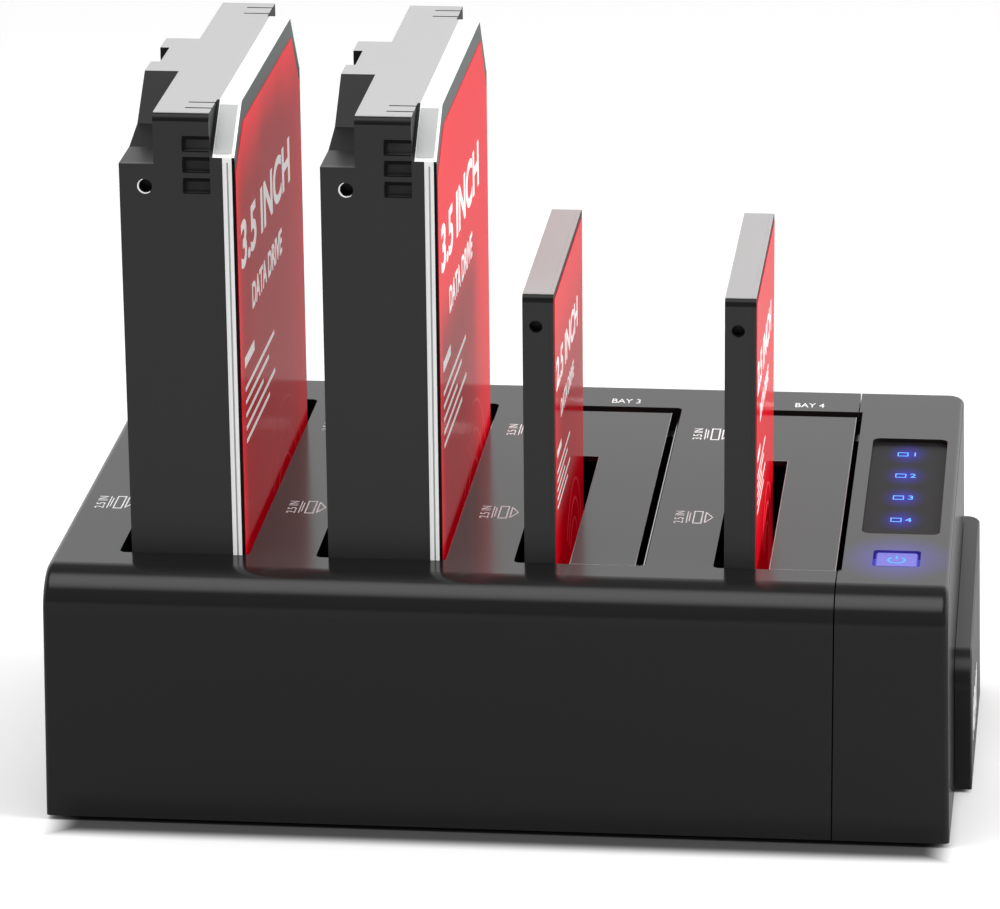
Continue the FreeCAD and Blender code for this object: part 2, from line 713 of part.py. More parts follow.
def make_liner(number):
    """Moulded well under a bay: it guides the drive and carries the flap pin."""
    name = f"bay_liner_{number + 1}"
    body = new_body(name)
    right = liner_right
    outside = box_outline(-liner_wall, -liner_wall, right + liner_wall, bay_length + liner_wall)
    top = -deck_thickness - liner_gap
    pad(body, "block", "XY", [outside], -liner_depth, top)
    inside = box_outline(0, 0, right, bay_length)
    pocket(body, "well", "XY", [inside], -liner_depth + liner_wall, top + 1)
    ribs = [box_outline(0, y, guide_rib, y + 1.6) for y in (5.0, socket_front + socket_length + 10)]
    pad(body, "ribs", "XY", ribs, -liner_depth + liner_wall / 2, top - 6)
    lowered = box_outline(right - 0.01, 0, right + liner_wall + 1, bay_length)
    pocket(body, "lower_side", "XY", [lowered], -liner_side, top + 1)
    socket_hole = box_outline(socket_x - socket_width / 2 - fit_gap, socket_front - 1,
                              socket_x + socket_width / 2 + fit_gap, socket_front + socket_length + 1)
    pocket(body, "socket_hole", "XY", [socket_hole], -liner_depth - 1, -liner_depth + liner_wall + 1)
    bore = (pin_x, -pin_depth, pin_radius + pin_clearance)
    pocket(body, "pin_bore", "XZ", [bore], -liner_wall - 1, bay_length + liner_wall + 1)
    feet = square_posts([(x, y) for x in (12.0, 21.0) for y in (6.0, bay_length - 6)], post_width)
    pad(body, "feet", "XY", feet, -board_depth + fit_gap, -liner_depth + liner_wall / 2)
    add_node(body, name, Placement(Vector(bay_pitch.value * number, 0, 0), Rotation()))


def make_flap(number, opened):
    """Spring flap: L-shaped plate with two arms that dip under the deck's edge to the pin."""
    name = f"flap_{number + 1}"
    body = new_body(name)
    top = -flap_sink
    under = top - flap_thickness
    rear = bay_length - flap_rear_gap
    plate = [(notch_width, flap_side_gap), (flap_reach, flap_side_gap), (flap_reach, rear),
             (flap_side_gap, rear), (flap_side_gap, notch_length), (notch_width, notch_length)]
    pad(body, "plate", "XY", [plate], under, top)
    ribs = [box_outline(notch_width + 2, y, flap_reach - 2, y + 1.2) for y in (24.0, 50.0, 86.0)]
    pad(body, "ribs", "XY", ribs, under - 1.0, under + 0.2)
    dip = -pin_depth - 0.4
    neck = [(flap_reach - 4.5, under + 0.2), (flap_reach - 0.4, under + 0.2), (flap_reach - 0.3, dip),
            (pin_x - 2.0, dip), (pin_x, -pin_depth + 0.9), (pin_x, -pin_depth - 0.9),
            (pin_x - 1.0, dip - 0.75), (flap_reach - 1.8, dip - 0.75), (flap_reach - 4.5, under - 1.2)]
    first = pad(body, "neck", "XZ", [neck], knuckle_inset, knuckle_inset + knuckle_length)
    far = bay_length - 2 * knuckle_inset - 2 * knuckle_length
    add_second(body, "necks", first, far)
    knuckle = pad(body, "knuckle", "XZ", [(pin_x, -pin_depth, knuckle_radius)],
                  knuckle_inset, knuckle_inset + knuckle_length)
    add_second(body, "knuckles", knuckle, far)
    pin = rod(f"pin_rod_{number + 1}", pin_x, -liner_wall, -pin_depth, pin_radius,
              bay_length + 2 * liner_wall, "y")
    start = knuckle_inset + knuckle_length + fit_gap
    coil = rod(f"coil_{number + 1}", pin_x, start, -pin_depth, knuckle_radius, 14.0, "y")
    leg = block(f"leg_{number + 1}", pin_x - 6.2, start, dip - 0.7, pin_x, start + 0.5, dip - 0.2)

    place = Placement(Vector(bay_pitch.value * number, 0, 0), Rotation())
    if opened:
        centre = Vector(pin_x.value, 0, -pin_depth.value)
        swing = Placement(centre, Rotation(Vector(0, 1, 0), -90)) * Placement(-centre, Rotation())
        place = place * swing
    add_node(body, name, place)
    add_node(group(f"flap_pin_{number + 1}", [pin]), f"flap_pin_{number + 1}", place)
    add_node(join(f"flap_spring_{number + 1}", [coil, leg]), f"flap_spring_{number + 1}", place)


def add_second(body, name, feature, far):
    """A second copy of an arm or knuckle at the other end of the flap."""
    pattern = body.newObject("PartDesign::LinearPattern", name)
    pattern.Originals = [feature]
    pattern.Direction = (feature.Profile[0], ["N_Axis"])
    pattern.Reversed = True
    pattern.Occurrences = 2
    pattern.setExpression("Length", (far + knuckle_length).text)
    body.Tip = pattern
    doc.recompute()


def make_socket(number):
    """Upright drive socket on the main board, with its two contact blades."""
    shift = bay_pitch * number
    x = shift + socket_x
    y = socket_front
    half = socket_width / 2
    thin = blade_width / 2
    low = -board_depth
    signal = y + blade_inset
    power = signal + signal_blade + blade_space
    pieces = [block(f"socket_body_{number}", x - half, y, low, x + half, y + socket_length, -socket_top),
              block(f"signal_blade_{number}", x - thin, signal, -socket_top - 1,
                    x + thin, signal + signal_blade, -socket_top + blade_height),
              block(f"power_blade_{number}", x - thin, power, -socket_top - 1,
                    x + thin, power + power_blade, -socket_top + blade_height)]
    add_node(join(f"drive_socket_{number + 1}", pieces), f"drive_socket_{number + 1}")


def make_main_board():
    top = -board_depth
    board = block("board_sheet", -3.5, 2.0, top - board_thickness, 160.0, rear_y - wall - 2.3, top)
    add_node(group("main_board", [board]), "main_board")
    chip_y = socket_front + socket_length + 14
    chips = [block(f"chip_{k}", x, chip_y, top, x + 12, chip_y + 12, top + 1.4)
             for k, x in enumerate((16.0, 61.0, 107.0))]
    add_node(group("board_chips", chips), "board_chips")
    coil_y = bay_length + 3
    coils = [block(f"coil_block_{k}", x, coil_y, top, x + 7, coil_y + 7, top + 4)
             for k, x in enumerate((84.0, 94.0, 104.0))]
    add_node(group("board_coils", coils), "board_coils")

    y0 = rear_y + 0.2 - port_length
    y1 = rear_y + 0.2
    usb = cut("data_port",
              block("usb_shell", usb_left, y0, top, usb_left + usb_width, y1, top + port_height),
              [block("usb_mouth", usb_left + 0.8, y0 + 3, top + 0.8,
                     usb_left + usb_width - 0.8, y1 + 1, top + port_height - 0.8)])
    tongue = block("usb_tongue", usb_left + 3.2, y0 + 1, top + 3.4, usb_left + usb_width - 3.2,
                   y1 - 1.5, top + port_height - 4.2)
    add_node(join("usb_port", [usb, tongue]), "usb_port")
    mid = jack_left + jack_width / 2
    jack = cut("jack_shell",
               block("jack_block", jack_left, y0, top, jack_left + jack_width, y1, top + port_height),
               [rod("jack_mouth", mid, y0 + 3, top + port_height / 2, 3.2, port_length, "y")])
    centre = rod("jack_pin", mid, y0 + 2, top + port_height / 2, 1.0, port_length - 4, "y")
    add_node(join("power_jack", [jack, centre]), "power_jack")


def make_screws():
    """Housing screws from below, their axes along the bosses."""
    pieces = []
    for k, (x, y) in enumerate(boss_places_main + boss_places_control):
        seat = lower_edge(y) + base_recess - 0.3
        head = rod(f"screw_head_{k}", x, y, seat - head_height, head_radius, head_height)
        shank = doc.addObject("Part::Prism", f"screw_shank_{k}")
        shank.Polygon = 8
        shank.Circumradius = screw_radius.value - 0.02
        shank.Placement.Rotation = Rotation(Vector(0, 0, 1), 22.5)
        shank.Height = 10.0
        shank.Placement.Base = Vector(x.value, y.value, (seat - 0.5).value)
        pieces.append(join(f"screw_{k}", [head, shank]))
    add_node(group("housing_screws", pieces), "housing_screws")


# ------------------------------------------------------------------------------ 3.5 inch drives

def big_place(number):
    return Placement(Vector(bay_pitch.value * number + big_left.value, drive_front.value, -big_seat.value),
                     Rotation())


def make_big_drive(number):
    """Casting, cover, label, circuit board and connector of a 3.5 inch drive, standing on end."""
    prefix = f"drive_{number + 1}"
    place = big_place(number)
    body_thick = big_thickness - big_cover
    top = big_length

    casting = new_body(prefix + "_casting")
    pad(casting, "block", "XY", [box_outline(0, 0, body_thick - 0.05, big_width)], 0, top)
    step = 20.6
    before = [(0, top - front_bevel), (bevel_length, top), (bevel_length, top + 1), (-1, top + 1),
              (-1, top - front_bevel)]
    pocket(casting, "front_slope", "YZ", [before], step, body_thick + 1)
    behind = [(big_width, top - rear_bevel), (big_width - bevel_length, top),
              (big_width - bevel_length, top + 1), (big_width + 1, top + 1), (big_width + 1, top - rear_bevel)]
    pocket(casting, "rear_slope", "YZ", [behind], step, body_thick + 1)
    ear = top - 11.7
    front_cut = [(-1, ear), (14, ear), (25, ear + 2.4), (37.1, top + 0.2), (-1, top + 0.2)]
    pocket(casting, "front_recess", "YZ", [front_cut], -1, 7.9)
    rear_cut = [(66.7, top + 0.2), (66.7, ear), (big_width + 1, ear), (big_width + 1, top + 0.2)]
    pocket(casting, "rear_recess", "YZ", [rear_cut], -1, 7.9)
    slope = [(-0.01, top), (2.2, top), (2.2, top - 6), (-0.01, top - 6)]
    pocket(casting, "boss_notch", "XZ", [slope], 45.1, 58.0)
    round_edges(casting, "top_front", 2.0,
                lambda edge, a, b: both(a, b, "y", 0) and both(a, b, "z", top) and a.x < step + 0.1)
    groove = box_outline(14.5, top - 8.5, step, top - 5.2)
    first = pocket(casting, "finger_recess", "XZ", [groove], -0.5, 1.2)
    pattern = casting.newObject("PartDesign::LinearPattern", "finger_recesses")
    pattern.Originals = [first]
    pattern.Direction = (first.Profile[0], ["V_Axis"])
    pattern.Reversed = True
    pattern.Occurrences = 3
    pattern.Length = 9.7
    casting.Tip = pattern
    doc.recompute()
    lines = [box_outline(14.5, y, step, y + 0.7) for y in (4.9, 9.7, 91.2, 96.8)]
    pocket(casting, "top_lines", "XY", [*lines], top - 0.6, top + 1)
    hole = (5.8, 130.1, 1.6)
    pocket(casting, "front_hole", "XZ", [hole], -1, 3.5)
    pocket(casting, "rear_hole", "XZ", [hole], big_width - 3.5, big_width + 1)
    bay = box_outline(-1, socket_front - drive_front - 1.2, 8.6, socket_front - drive_front + socket_length + 1.2)
    pocket(casting, "connector_bay", "XY", [bay], -1, 18.0)
    pocket(casting, "board_recess", "YZ", [box_outline(3.0, 18.0, 98.6, 92.0)], -1, 2.6)
    pad(casting, "motor_hub", "YZ", [(big_width / 2, 75.0, 13.0)], 0.8, 2.7)
    add_node(casting, prefix + "_casting", place)

    cover = new_body(prefix + "_cover")
    outline = [(0, 0), (big_width, 0), (big_width, top - rear_bevel), (big_width - bevel_length, top),
               (bevel_length, top), (0, top - front_bevel)]
    pad(cover, "plate", "YZ", [outline], body_thick, big_thickness)
    add_node(cover, prefix + "_cover", place)

    label = new_body(prefix + "_label")
    left = label_inset
    right = big_width - label_inset
    head = top - label_top
    sheet_outline = [(left, left), (right, left), (right, head - rear_bevel + 1),
                     (right - bevel_length + 1, head), (left + bevel_length, head),
                     (left, head - front_bevel + 1)]
    pad(label, "sheet", "YZ", [sheet_outline], big_thickness, big_thickness + label_thickness)
    add_node(label, prefix + "_label", place)

    board = block(prefix + "_board_sheet", 0.4, 3.6, 18.6, 2.0, big_width - 3.6, 62.0)
    holder = cut(prefix + "_board", board, [rod(prefix + "_hub_gap", -1, big_width / 2, 75.0, 27.0, 4.0, "x")])
    add_node(holder, prefix + "_board", place)

    add_node(make_connector(prefix, socket_x - big_left, 6.1, 11.8, 8.0), prefix + "_connector", place)


def make_connector(prefix, middle_x, low, height, width):
    """Drive-side connector with two slots that take the socket's blades."""
    y = socket_front - drive_front
    half = as_size(width) / 2 if width < 6 else None
    x0 = middle_x - half if half is not None else as_size(0.1)
    x1 = middle_x + half if half is not None else as_size(width)
    base = block(prefix + "_connector_block", x0, y, low, x1, y + socket_length, as_size(low) + height)
    thin = blade_width / 2 + fit_gap
    signal = y + blade_inset
    power = signal + signal_blade + blade_space
    slots = [block(prefix + "_slot_a", middle_x - thin, signal - fit_gap, as_size(low) - 1,
                   middle_x + thin, signal + signal_blade + fit_gap, as_size(low) + blade_height + fit_gap),
             block(prefix + "_slot_b", middle_x - thin, power - fit_gap, as_size(low) - 1,
                   middle_x + thin, power + power_blade + fit_gap, as_size(low) + blade_height + fit_gap)]
    return cut(prefix + "_connector", base, slots)


# ------------------------------------------------------------------------------ 2.5 inch drives

def small_place(number):
    return Placement(Vector(bay_pitch.value * number + small_left.value, drive_front.value,
                            -small_seat.value), Rotation())


def make_small_drive(number):
    """Case, cover, label and connector of a 2.5 inch drive."""
    prefix = f"drive_{number + 1}"
    place = small_place(number)
    case_thick = small_thickness - small_cover
    middle = socket_x - small_left

    case = new_body(prefix + "_case")
    pad(case, "block", "XY", [box_outline(0, 0, case_thick - 0.02, small_width)], 0, small_length)
    round_edges(case, "top_edges", 1.6,
                lambda edge, a, b: both(a, b, "z", small_length) and near(a.y, b.y) and a.x != b.x)
    hole = (3.0, 92.7, 1.5)
    pocket(case, "front_hole", "XZ", [hole], -1, 3.0)
    pocket(case, "rear_hole", "XZ", [hole], small_width - 3.0, small_width + 1)
    y = socket_front - drive_front
    mouth = box_outline(middle - 2.3, y - 0.3, middle + 2.3, y + socket_length + 0.3)
    pocket(case, "connector_bay", "XY", [mouth], -1, 9.0)
    add_node(case, prefix + "_case", place)

    cover = new_body(prefix + "_cover")
    pad(cover, "plate", "YZ", [box_outline(0, 0, small_width, small_length)], case_thick, small_thickness)
    round_edges(cover, "top_edges", 1.6,
                lambda edge, a, b: both(a, b, "z", small_length) and near(a.y, b.y) and a.x != b.x)
    add_node(cover, prefix + "_cover", place)

    label = new_body(prefix + "_label")
    inset = label_inset + 0.6
    pad(label, "sheet", "YZ", [box_outline(inset, inset, small_width - inset, small_length - inset)],
        small_thickness, small_thickness + label_thickness)
    add_node(label, prefix + "_label", place)

    add_node(make_connector(prefix, middle, 0.2, 8.6, 4.4), prefix + "_connector", place)


# ------------------------------------------------------------------------------------ assembly

make_main_housing()
make_control_housing()
make_side_pod()
make_base_plate()
make_feet()
make_control_parts()
for bay in range(bay_count):
    make_liner(bay)
    make_flap(bay, opened=bay < 2)
    make_socket(bay)
make_main_board()
make_screws()
for bay in (0, 1):
    make_big_drive(bay)
for bay in (2, 3):
    make_small_drive(bay)
doc.recompute()

# ------------------------------------------------------------------------ checks and final place

for thing in doc.Objects:
    if "Invalid" in thing.State or "Error" in thing.State:
        raise RuntimeError(f"{thing.Name} failed: {thing.State}")

tilted = Placement(Vector(), Rotation(Vector(1, 0, 0), tilt))
world = FreeCAD.BoundBox()
for name, (thing, place) in nodes.items():
    thing.Placement = tilted * place * thing.Placement
doc.recompute()
for name, (thing, place) in nodes.items():
    world.add(thing.Shape.optimalBoundingBox(False, False))
stand = Vector(-(world.XMin + world.XMax) / 2, -(world.YMin + world.YMax) / 2, -world.ZMin)
for name, (thing, place) in nodes.items():
    thing.Placement = Placement(stand, Rotation()) * thing.Placement
doc.recompute()
print(f"deck tilt {tilt:.3f} degrees, deck origin moved by {tuple(round(v, 3) for v in stand)}")

os.makedirs("parts", exist_ok=True)
for name, (thing, place) in nodes.items():
    shape = thing.Shape
    if shape.isNull() or not shape.isValid() or not shape.Solids:
        raise RuntimeError(f"{name} has no valid solid")
    shape.exportStep(f"parts/{name}.step")
print(f"{len(nodes)} nodes, box {world.XLength:.1f} x {world.YLength:.1f} x {world.ZLength:.1f} mm")
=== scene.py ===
# %% [markdown]
# # Drive duplicator
# A sloped black dock holds four drives upright: two large ones on the left, two small ones on the
# right. The solid pieces come from the CAD frame. This script adds what a maker prints, plates or
# lights on them, gives every piece its finish, and sets up the studio.

# %% Load the frame
import json
import math

import bmesh
import bpy
from mathutils import Matrix, Vector


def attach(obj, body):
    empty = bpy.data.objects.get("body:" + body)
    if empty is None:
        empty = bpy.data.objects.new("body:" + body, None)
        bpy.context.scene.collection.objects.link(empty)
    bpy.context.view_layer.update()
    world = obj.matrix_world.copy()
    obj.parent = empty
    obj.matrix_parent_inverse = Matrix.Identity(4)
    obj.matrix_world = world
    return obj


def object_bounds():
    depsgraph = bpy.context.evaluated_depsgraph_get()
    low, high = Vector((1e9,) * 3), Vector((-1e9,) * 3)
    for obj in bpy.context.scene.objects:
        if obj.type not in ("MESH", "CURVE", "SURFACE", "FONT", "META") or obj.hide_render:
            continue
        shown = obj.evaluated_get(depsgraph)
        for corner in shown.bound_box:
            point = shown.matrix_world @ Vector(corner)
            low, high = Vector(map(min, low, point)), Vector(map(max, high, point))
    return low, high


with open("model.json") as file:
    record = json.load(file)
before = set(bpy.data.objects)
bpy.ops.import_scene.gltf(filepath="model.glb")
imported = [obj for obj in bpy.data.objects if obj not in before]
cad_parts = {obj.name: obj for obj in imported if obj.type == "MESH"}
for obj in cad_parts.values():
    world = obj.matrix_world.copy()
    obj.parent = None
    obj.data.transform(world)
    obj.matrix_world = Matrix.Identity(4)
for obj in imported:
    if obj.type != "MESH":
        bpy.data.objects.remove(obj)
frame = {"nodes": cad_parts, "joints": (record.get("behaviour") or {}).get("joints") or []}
cad_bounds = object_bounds()

# %% [markdown]
# ## The deck frame
# The deck slopes towards the user, and everything on it is square to it. It is easiest to place
# pieces in the deck's own directions and turn them all at once. The slope and the deck's origin
# come from two joints in the frame: a drive lifts out along the deck's normal, and the first flap's
# hinge has a known place on the deck.

# %% Deck directions from the joints
MM = 0.001
BAY_PITCH = 45.4                      # left edge of one bay to the next, mm
HINGE_ON_DECK = Vector((32.55, 57.0, -3.4))   # hinge of flap 1 on the deck's axes, mm

joints = {joint["name"]: joint for joint in frame["joints"]}
deck_normal = Vector(joints["drive_1_slide"]["axis"])
slope = math.atan2(-deck_normal.y, deck_normal.z)
turn = Matrix.Rotation(slope, 4, "X")
hinge_place = Vector(joints["flap_1_hinge"]["pos_m"])
deck_origin = hinge_place - (turn @ HINGE_ON_DECK) * MM
DECK = Matrix.Translation(deck_origin) @ turn @ Matrix.Scale(MM, 4)
print("slope", round(math.degrees(slope), 2), "deck origin", [round(v, 4) for v in deck_origin])

# %% [markdown]
# ## Small helpers
# Thin printed or plated pieces are flat outlines pushed out a little. One helper makes such a plate
# in the deck's millimetres, and another sets lettering. Both ride on the body that carries them.


# %% Plates and lettering
def on_deck(x, y, z):
    """Flat piece on the deck: its x to the right, its y to the rear."""
    return Matrix.Translation((x, y, z))


def on_side(x, y, z):
    """Flat piece on a drive's right face: its x to the rear, its y upwards."""
    across = Matrix(((0, 0, 1, 0), (1, 0, 0, 0), (0, 1, 0, 0), (0, 0, 0, 1)))
    return Matrix.Translation((x, y, z)) @ across


def finish_piece(piece, place, body, material):
    """Put a piece made in millimetres into the deck frame and hand it to its body."""
    piece.data.transform(DECK @ place)
    piece.data.materials.clear()
    piece.data.materials.append(material)
    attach(piece, body)
    return piece


def mesh_object(name, mesh):
    piece = bpy.data.objects.new(name, mesh)
    bpy.context.collection.objects.link(piece)
    return piece


def plate(name, outlines, thickness, place, body, material):
    """Flat outlines pushed out by a thickness along the plate's own z."""
    shape = bmesh.new()
    for outline in outlines:
        low = [shape.verts.new((x, y, 0)) for x, y in outline]
        high = [shape.verts.new((x, y, thickness)) for x, y in outline]
        shape.faces.new(high)
        shape.faces.new(list(reversed(low)))
        for i in range(len(outline)):
            j = (i + 1) % len(outline)
            shape.faces.new((low[i], low[j], high[j], high[i]))
    bmesh.ops.recalc_face_normals(shape, faces=shape.faces)
    mesh = bpy.data.meshes.new(name)
    shape.to_mesh(mesh)
    shape.free()
    return finish_piece(mesh_object(name, mesh), place, body, material)


def lettering(name, words, height, place, body, material, spin=0.0, width=1.0, weight=0.0):
    """Words as thin solid letters, centred on their place."""
    curve = bpy.data.curves.new(name, "FONT")
    curve.body = words
    curve.size = height
    curve.extrude = 0.02
    curve.offset = weight * height
    curve.align_x = "CENTER"
    curve.align_y = "CENTER"
    source = bpy.data.objects.new(name + "_source", curve)
    bpy.context.collection.objects.link(source)
    bpy.context.view_layer.update()
    mesh = bpy.data.meshes.new_from_object(source.evaluated_get(bpy.context.evaluated_depsgraph_get()))
    bpy.data.objects.remove(source)
    mesh.transform(Matrix.Diagonal((width, 1.0, 1.0, 1.0)))
    turned = place @ Matrix.Rotation(spin, 4, "Z")
    return finish_piece(mesh_object(name, mesh), turned, body, material)


def bar(x0, y0, x1, y1):
    return [(x0, y0), (x1, y0), (x1, y1), (x0, y1)]


def arc_band(x, y, inner, outer, start, end, steps=24):
    """Outline of a band between two radii, between two angles in degrees."""
    angles = [math.radians(start + (end - start) * i / steps) for i in range(steps + 1)]
    outside = [(x + outer * math.cos(a), y + outer * math.sin(a)) for a in angles]
    inside = [(x + inner * math.cos(a), y + inner * math.sin(a)) for a in reversed(angles)]
    return outside + inside


print("helpers ready")

# %% [markdown]
# ## Shared shader groups
# Three effects turn up in more than one finish. Moulded plastic has a very fine grain. The tops of
# the drives carry a painted highlight, paler than their fronts, and painted shade darkens what lies
# behind the front and the rounded edge under the top. The lamps' soft coloured halo on what
# surrounds them is painted light too. Each could be painted by hand on every mesh, but a node group
# with its own inputs is made once, and each material sets it to taste.


# %% Groups
def new_group(name, inputs, outputs):
    group = bpy.data.node_groups.new(name, "ShaderNodeTree")
    for label, kind, value in inputs:
        socket = group.interface.new_socket(label, in_out="INPUT", socket_type=kind)
        socket.default_value = value
    for label, kind in outputs:
        group.interface.new_socket(label, in_out="OUTPUT", socket_type=kind)
    return group, group.nodes.new("NodeGroupInput"), group.nodes.new("NodeGroupOutput")


def math_node(tree, operation, a, b=None):
    node = tree.nodes.new("ShaderNodeMath")
    node.operation = operation
    for socket, value in zip(node.inputs, (a, b)):
        if value is None:
            continue
        if isinstance(value, (int, float)):
            socket.default_value = value
        else:
            tree.links.new(value, socket)
    return node.outputs[0]


def dot_node(tree, a, b):
    node = tree.nodes.new("ShaderNodeVectorMath")
    node.operation = "DOT_PRODUCT"
    tree.links.new(a, node.inputs[0])
    if isinstance(b, tuple):
        node.inputs[1].default_value = b
    else:
        tree.links.new(b, node.inputs[1])
    return node.outputs["Value"]


def range_node(tree, value, low, high, to_low=0.0, to_high=1.0):
    node = tree.nodes.new("ShaderNodeMapRange")
    node.interpolation_type = "SMOOTHSTEP"
    for label, number in (("From Min", low), ("From Max", high), ("To Min", to_low), ("To Max", to_high)):
        node.inputs[label].default_value = number
    tree.links.new(value, node.inputs["Value"])
    return node.outputs["Result"]


def make_grain():
    """Fine moulded grain: height for a bump and a small change of roughness."""
    group, given, result = new_group(
        "moulded_grain",
        [("Scale", "NodeSocketFloat", 900.0), ("Roughness", "NodeSocketFloat", 0.3),
         ("Variation", "NodeSocketFloat", 0.05)],
        [("Roughness", "NodeSocketFloat"), ("Height", "NodeSocketFloat")])
    place = group.nodes.new("ShaderNodeTexCoord")
    noise = group.nodes.new("ShaderNodeTexNoise")
    group.links.new(place.outputs["Object"], noise.inputs["Vector"])
    group.links.new(given.outputs["Scale"], noise.inputs["Scale"])
    centred = math_node(group, "SUBTRACT", noise.outputs["Fac"], 0.5)
    change = math_node(group, "MULTIPLY", centred, given.outputs["Variation"])
    total = math_node(group, "ADD", given.outputs["Roughness"], change)
    group.links.new(total, result.inputs["Roughness"])
    group.links.new(noise.outputs["Fac"], result.inputs["Height"])
    return group


RIM_HEIGHT = 1.0                      # height of the painted dark band, a painted reflection, on the rounded edge below a drive's pale top, mm


def make_tones():
    """Three colours by place: a painted highlight on topmost faces that look up, the front face, and
    painted shade on all that lies behind it and on the rounded top edge.
    """
    group, given, result = new_group(
        "painted_tones",
        [("Front", "NodeSocketColor", (0.05, 0.05, 0.05, 1)),
         ("Top", "NodeSocketColor", (0.6, 0.6, 0.6, 1)),
         ("Behind", "NodeSocketColor", (0.01, 0.01, 0.01, 1)), ("Up", "NodeSocketVector", (0, 0, 1)),
         ("Level", "NodeSocketFloat", 0.1), ("Rear", "NodeSocketVector", (0, 1, 0)),
         ("Depth", "NodeSocketFloat", 0.0)],
        [("Color", "NodeSocketColor")])
    place = group.nodes.new("ShaderNodeTexCoord")
    # painted highlight: the topmost faces that look up are paler
    looks_up = range_node(group, dot_node(group, place.outputs["Normal"], given.outputs["Up"]), 0.90, 0.97)
    height = dot_node(group, place.outputs["Object"], given.outputs["Up"])
    above = math_node(group, "GREATER_THAN", height, given.outputs["Level"])
    painted_highlight_mask = math_node(group, "MULTIPLY", looks_up, above)
    # painted shade: all that lies behind the front
    depth = dot_node(group, place.outputs["Object"], given.outputs["Rear"])
    further = math_node(group, "GREATER_THAN", depth, given.outputs["Depth"])
    # painted dark reflection: a band on the rounded edge under the top
    rim_start = math_node(group, "SUBTRACT", given.outputs["Level"], RIM_HEIGHT * MM)
    edge = math_node(group, "GREATER_THAN", height, rim_start)
    painted_shade = math_node(group, "MAXIMUM", further, edge)
    color = given.outputs["Front"]
    for mask, tone in ((painted_shade, "Behind"), (painted_highlight_mask, "Top")):
        mix = group.nodes.new("ShaderNodeMix")
        mix.data_type = "RGBA"
        group.links.new(mask, mix.inputs["Factor"])
        group.links.new(color, mix.inputs[6])
        group.links.new(given.outputs[tone], mix.inputs[7])
        color = mix.outputs[2]
    group.links.new(color, result.inputs["Color"])
    return group


def make_halo():
    """Coloured glow that fades with the distance from a lamp."""
    group, given, result = new_group(
        "lamp_halo",
        [("Centre", "NodeSocketVector", (0, 0, 0)), ("Stretch", "NodeSocketVector", (1, 1, 1)),
         ("Radius", "NodeSocketFloat", 0.006), ("Power", "NodeSocketFloat", 2.0),
         ("Color", "NodeSocketColor", (0.1, 0.1, 1, 1)), ("Add To", "NodeSocketColor", (0, 0, 0, 1))],
        [("Color", "NodeSocketColor")])
    place = group.nodes.new("ShaderNodeTexCoord")
    offset = group.nodes.new("ShaderNodeVectorMath")
    offset.operation = "SUBTRACT"
    group.links.new(place.outputs["Object"], offset.inputs[0])
    group.links.new(given.outputs["Centre"], offset.inputs[1])
    stretched = group.nodes.new("ShaderNodeVectorMath")
    stretched.operation = "MULTIPLY"
    group.links.new(offset.outputs[0], stretched.inputs[0])
    group.links.new(given.outputs["Stretch"], stretched.inputs[1])
    length = group.nodes.new("ShaderNodeVectorMath")
    length.operation = "LENGTH"
    group.links.new(stretched.outputs[0], length.inputs[0])
    share = math_node(group, "DIVIDE", length.outputs["Value"], given.outputs["Radius"])
    inside = math_node(group, "MAXIMUM", math_node(group, "SUBTRACT", 1.0, share), 0.0)
    faded = math_node(group, "POWER", inside, given.outputs["Power"])
    scale = group.nodes.new("ShaderNodeVectorMath")
    scale.operation = "SCALE"
    group.links.new(given.outputs["Color"], scale.inputs[0])
    group.links.new(faded, scale.inputs["Scale"])
    total = group.nodes.new("ShaderNodeVectorMath")
    total.operation = "ADD"
    group.links.new(scale.outputs[0], total.inputs[0])
    group.links.new(given.outputs["Add To"], total.inputs[1])
    group.links.new(total.outputs[0], result.inputs["Color"])
    return group


GRAIN = make_grain()
PAINTED_TONES = make_tones()
HALO = make_halo()
print("groups:", [g.name for g in (GRAIN, PAINTED_TONES, HALO)])

# %% [markdown]
# ## Finishes
# The dock is black plastic with a high gloss: its grey comes from what it mirrors, so its own
# colour stays almost black. The liners and the base are the same plastic left matt. The drives are
# dark coated castings with bright stamped covers and glossy printed labels. The prints, labels and
# rims carry painted light, a faint glow, so that they read as clean colour in the shade between drives.


# %% Material helpers
def finish(name, color, roughness, metallic=0.0, ior=1.45, glow=None, glow_strength=0.0):
    """A plain Principled material; constant values sit on the shader's own sockets."""
    material = bpy.data.materials.new(name)
    material.use_nodes = True
    shader = material.node_tree.nodes["Principled BSDF"]
    shader.inputs["Base Color"].default_value = (*color, 1)
    shader.inputs["Roughness"].default_value = roughness
    shader.inputs["Metallic"].default_value = metallic
    shader.inputs["IOR"].default_value = ior
    if glow:
        shader.inputs["Emission Color"].default_value = (*glow, 1)
        shader.inputs["Emission Strength"].default_value = glow_strength
    return material


def add_group(material, group, **values):
    node = material.node_tree.nodes.new("ShaderNodeGroup")
    node.node_tree = group
    for label, value in values.items():
        node.inputs[label].default_value = value
    return node


def add_grain(material, scale, roughness, variation, depth):
    """Moulded grain on roughness and, through a bump, on the normal."""
    tree = material.node_tree
    shader = tree.nodes["Principled BSDF"]
    grain = add_group(material, GRAIN, Scale=scale, Roughness=roughness, Variation=variation)
    tree.links.new(grain.outputs["Roughness"], shader.inputs["Roughness"])
    bump = tree.nodes.new("ShaderNodeBump")
    bump.inputs["Strength"].default_value = depth
    bump.inputs["Distance"].default_value = 0.0001
    tree.links.new(grain.outputs["Height"], bump.inputs["Height"])
    tree.links.new(bump.outputs["Normal"], shader.inputs["Normal"])


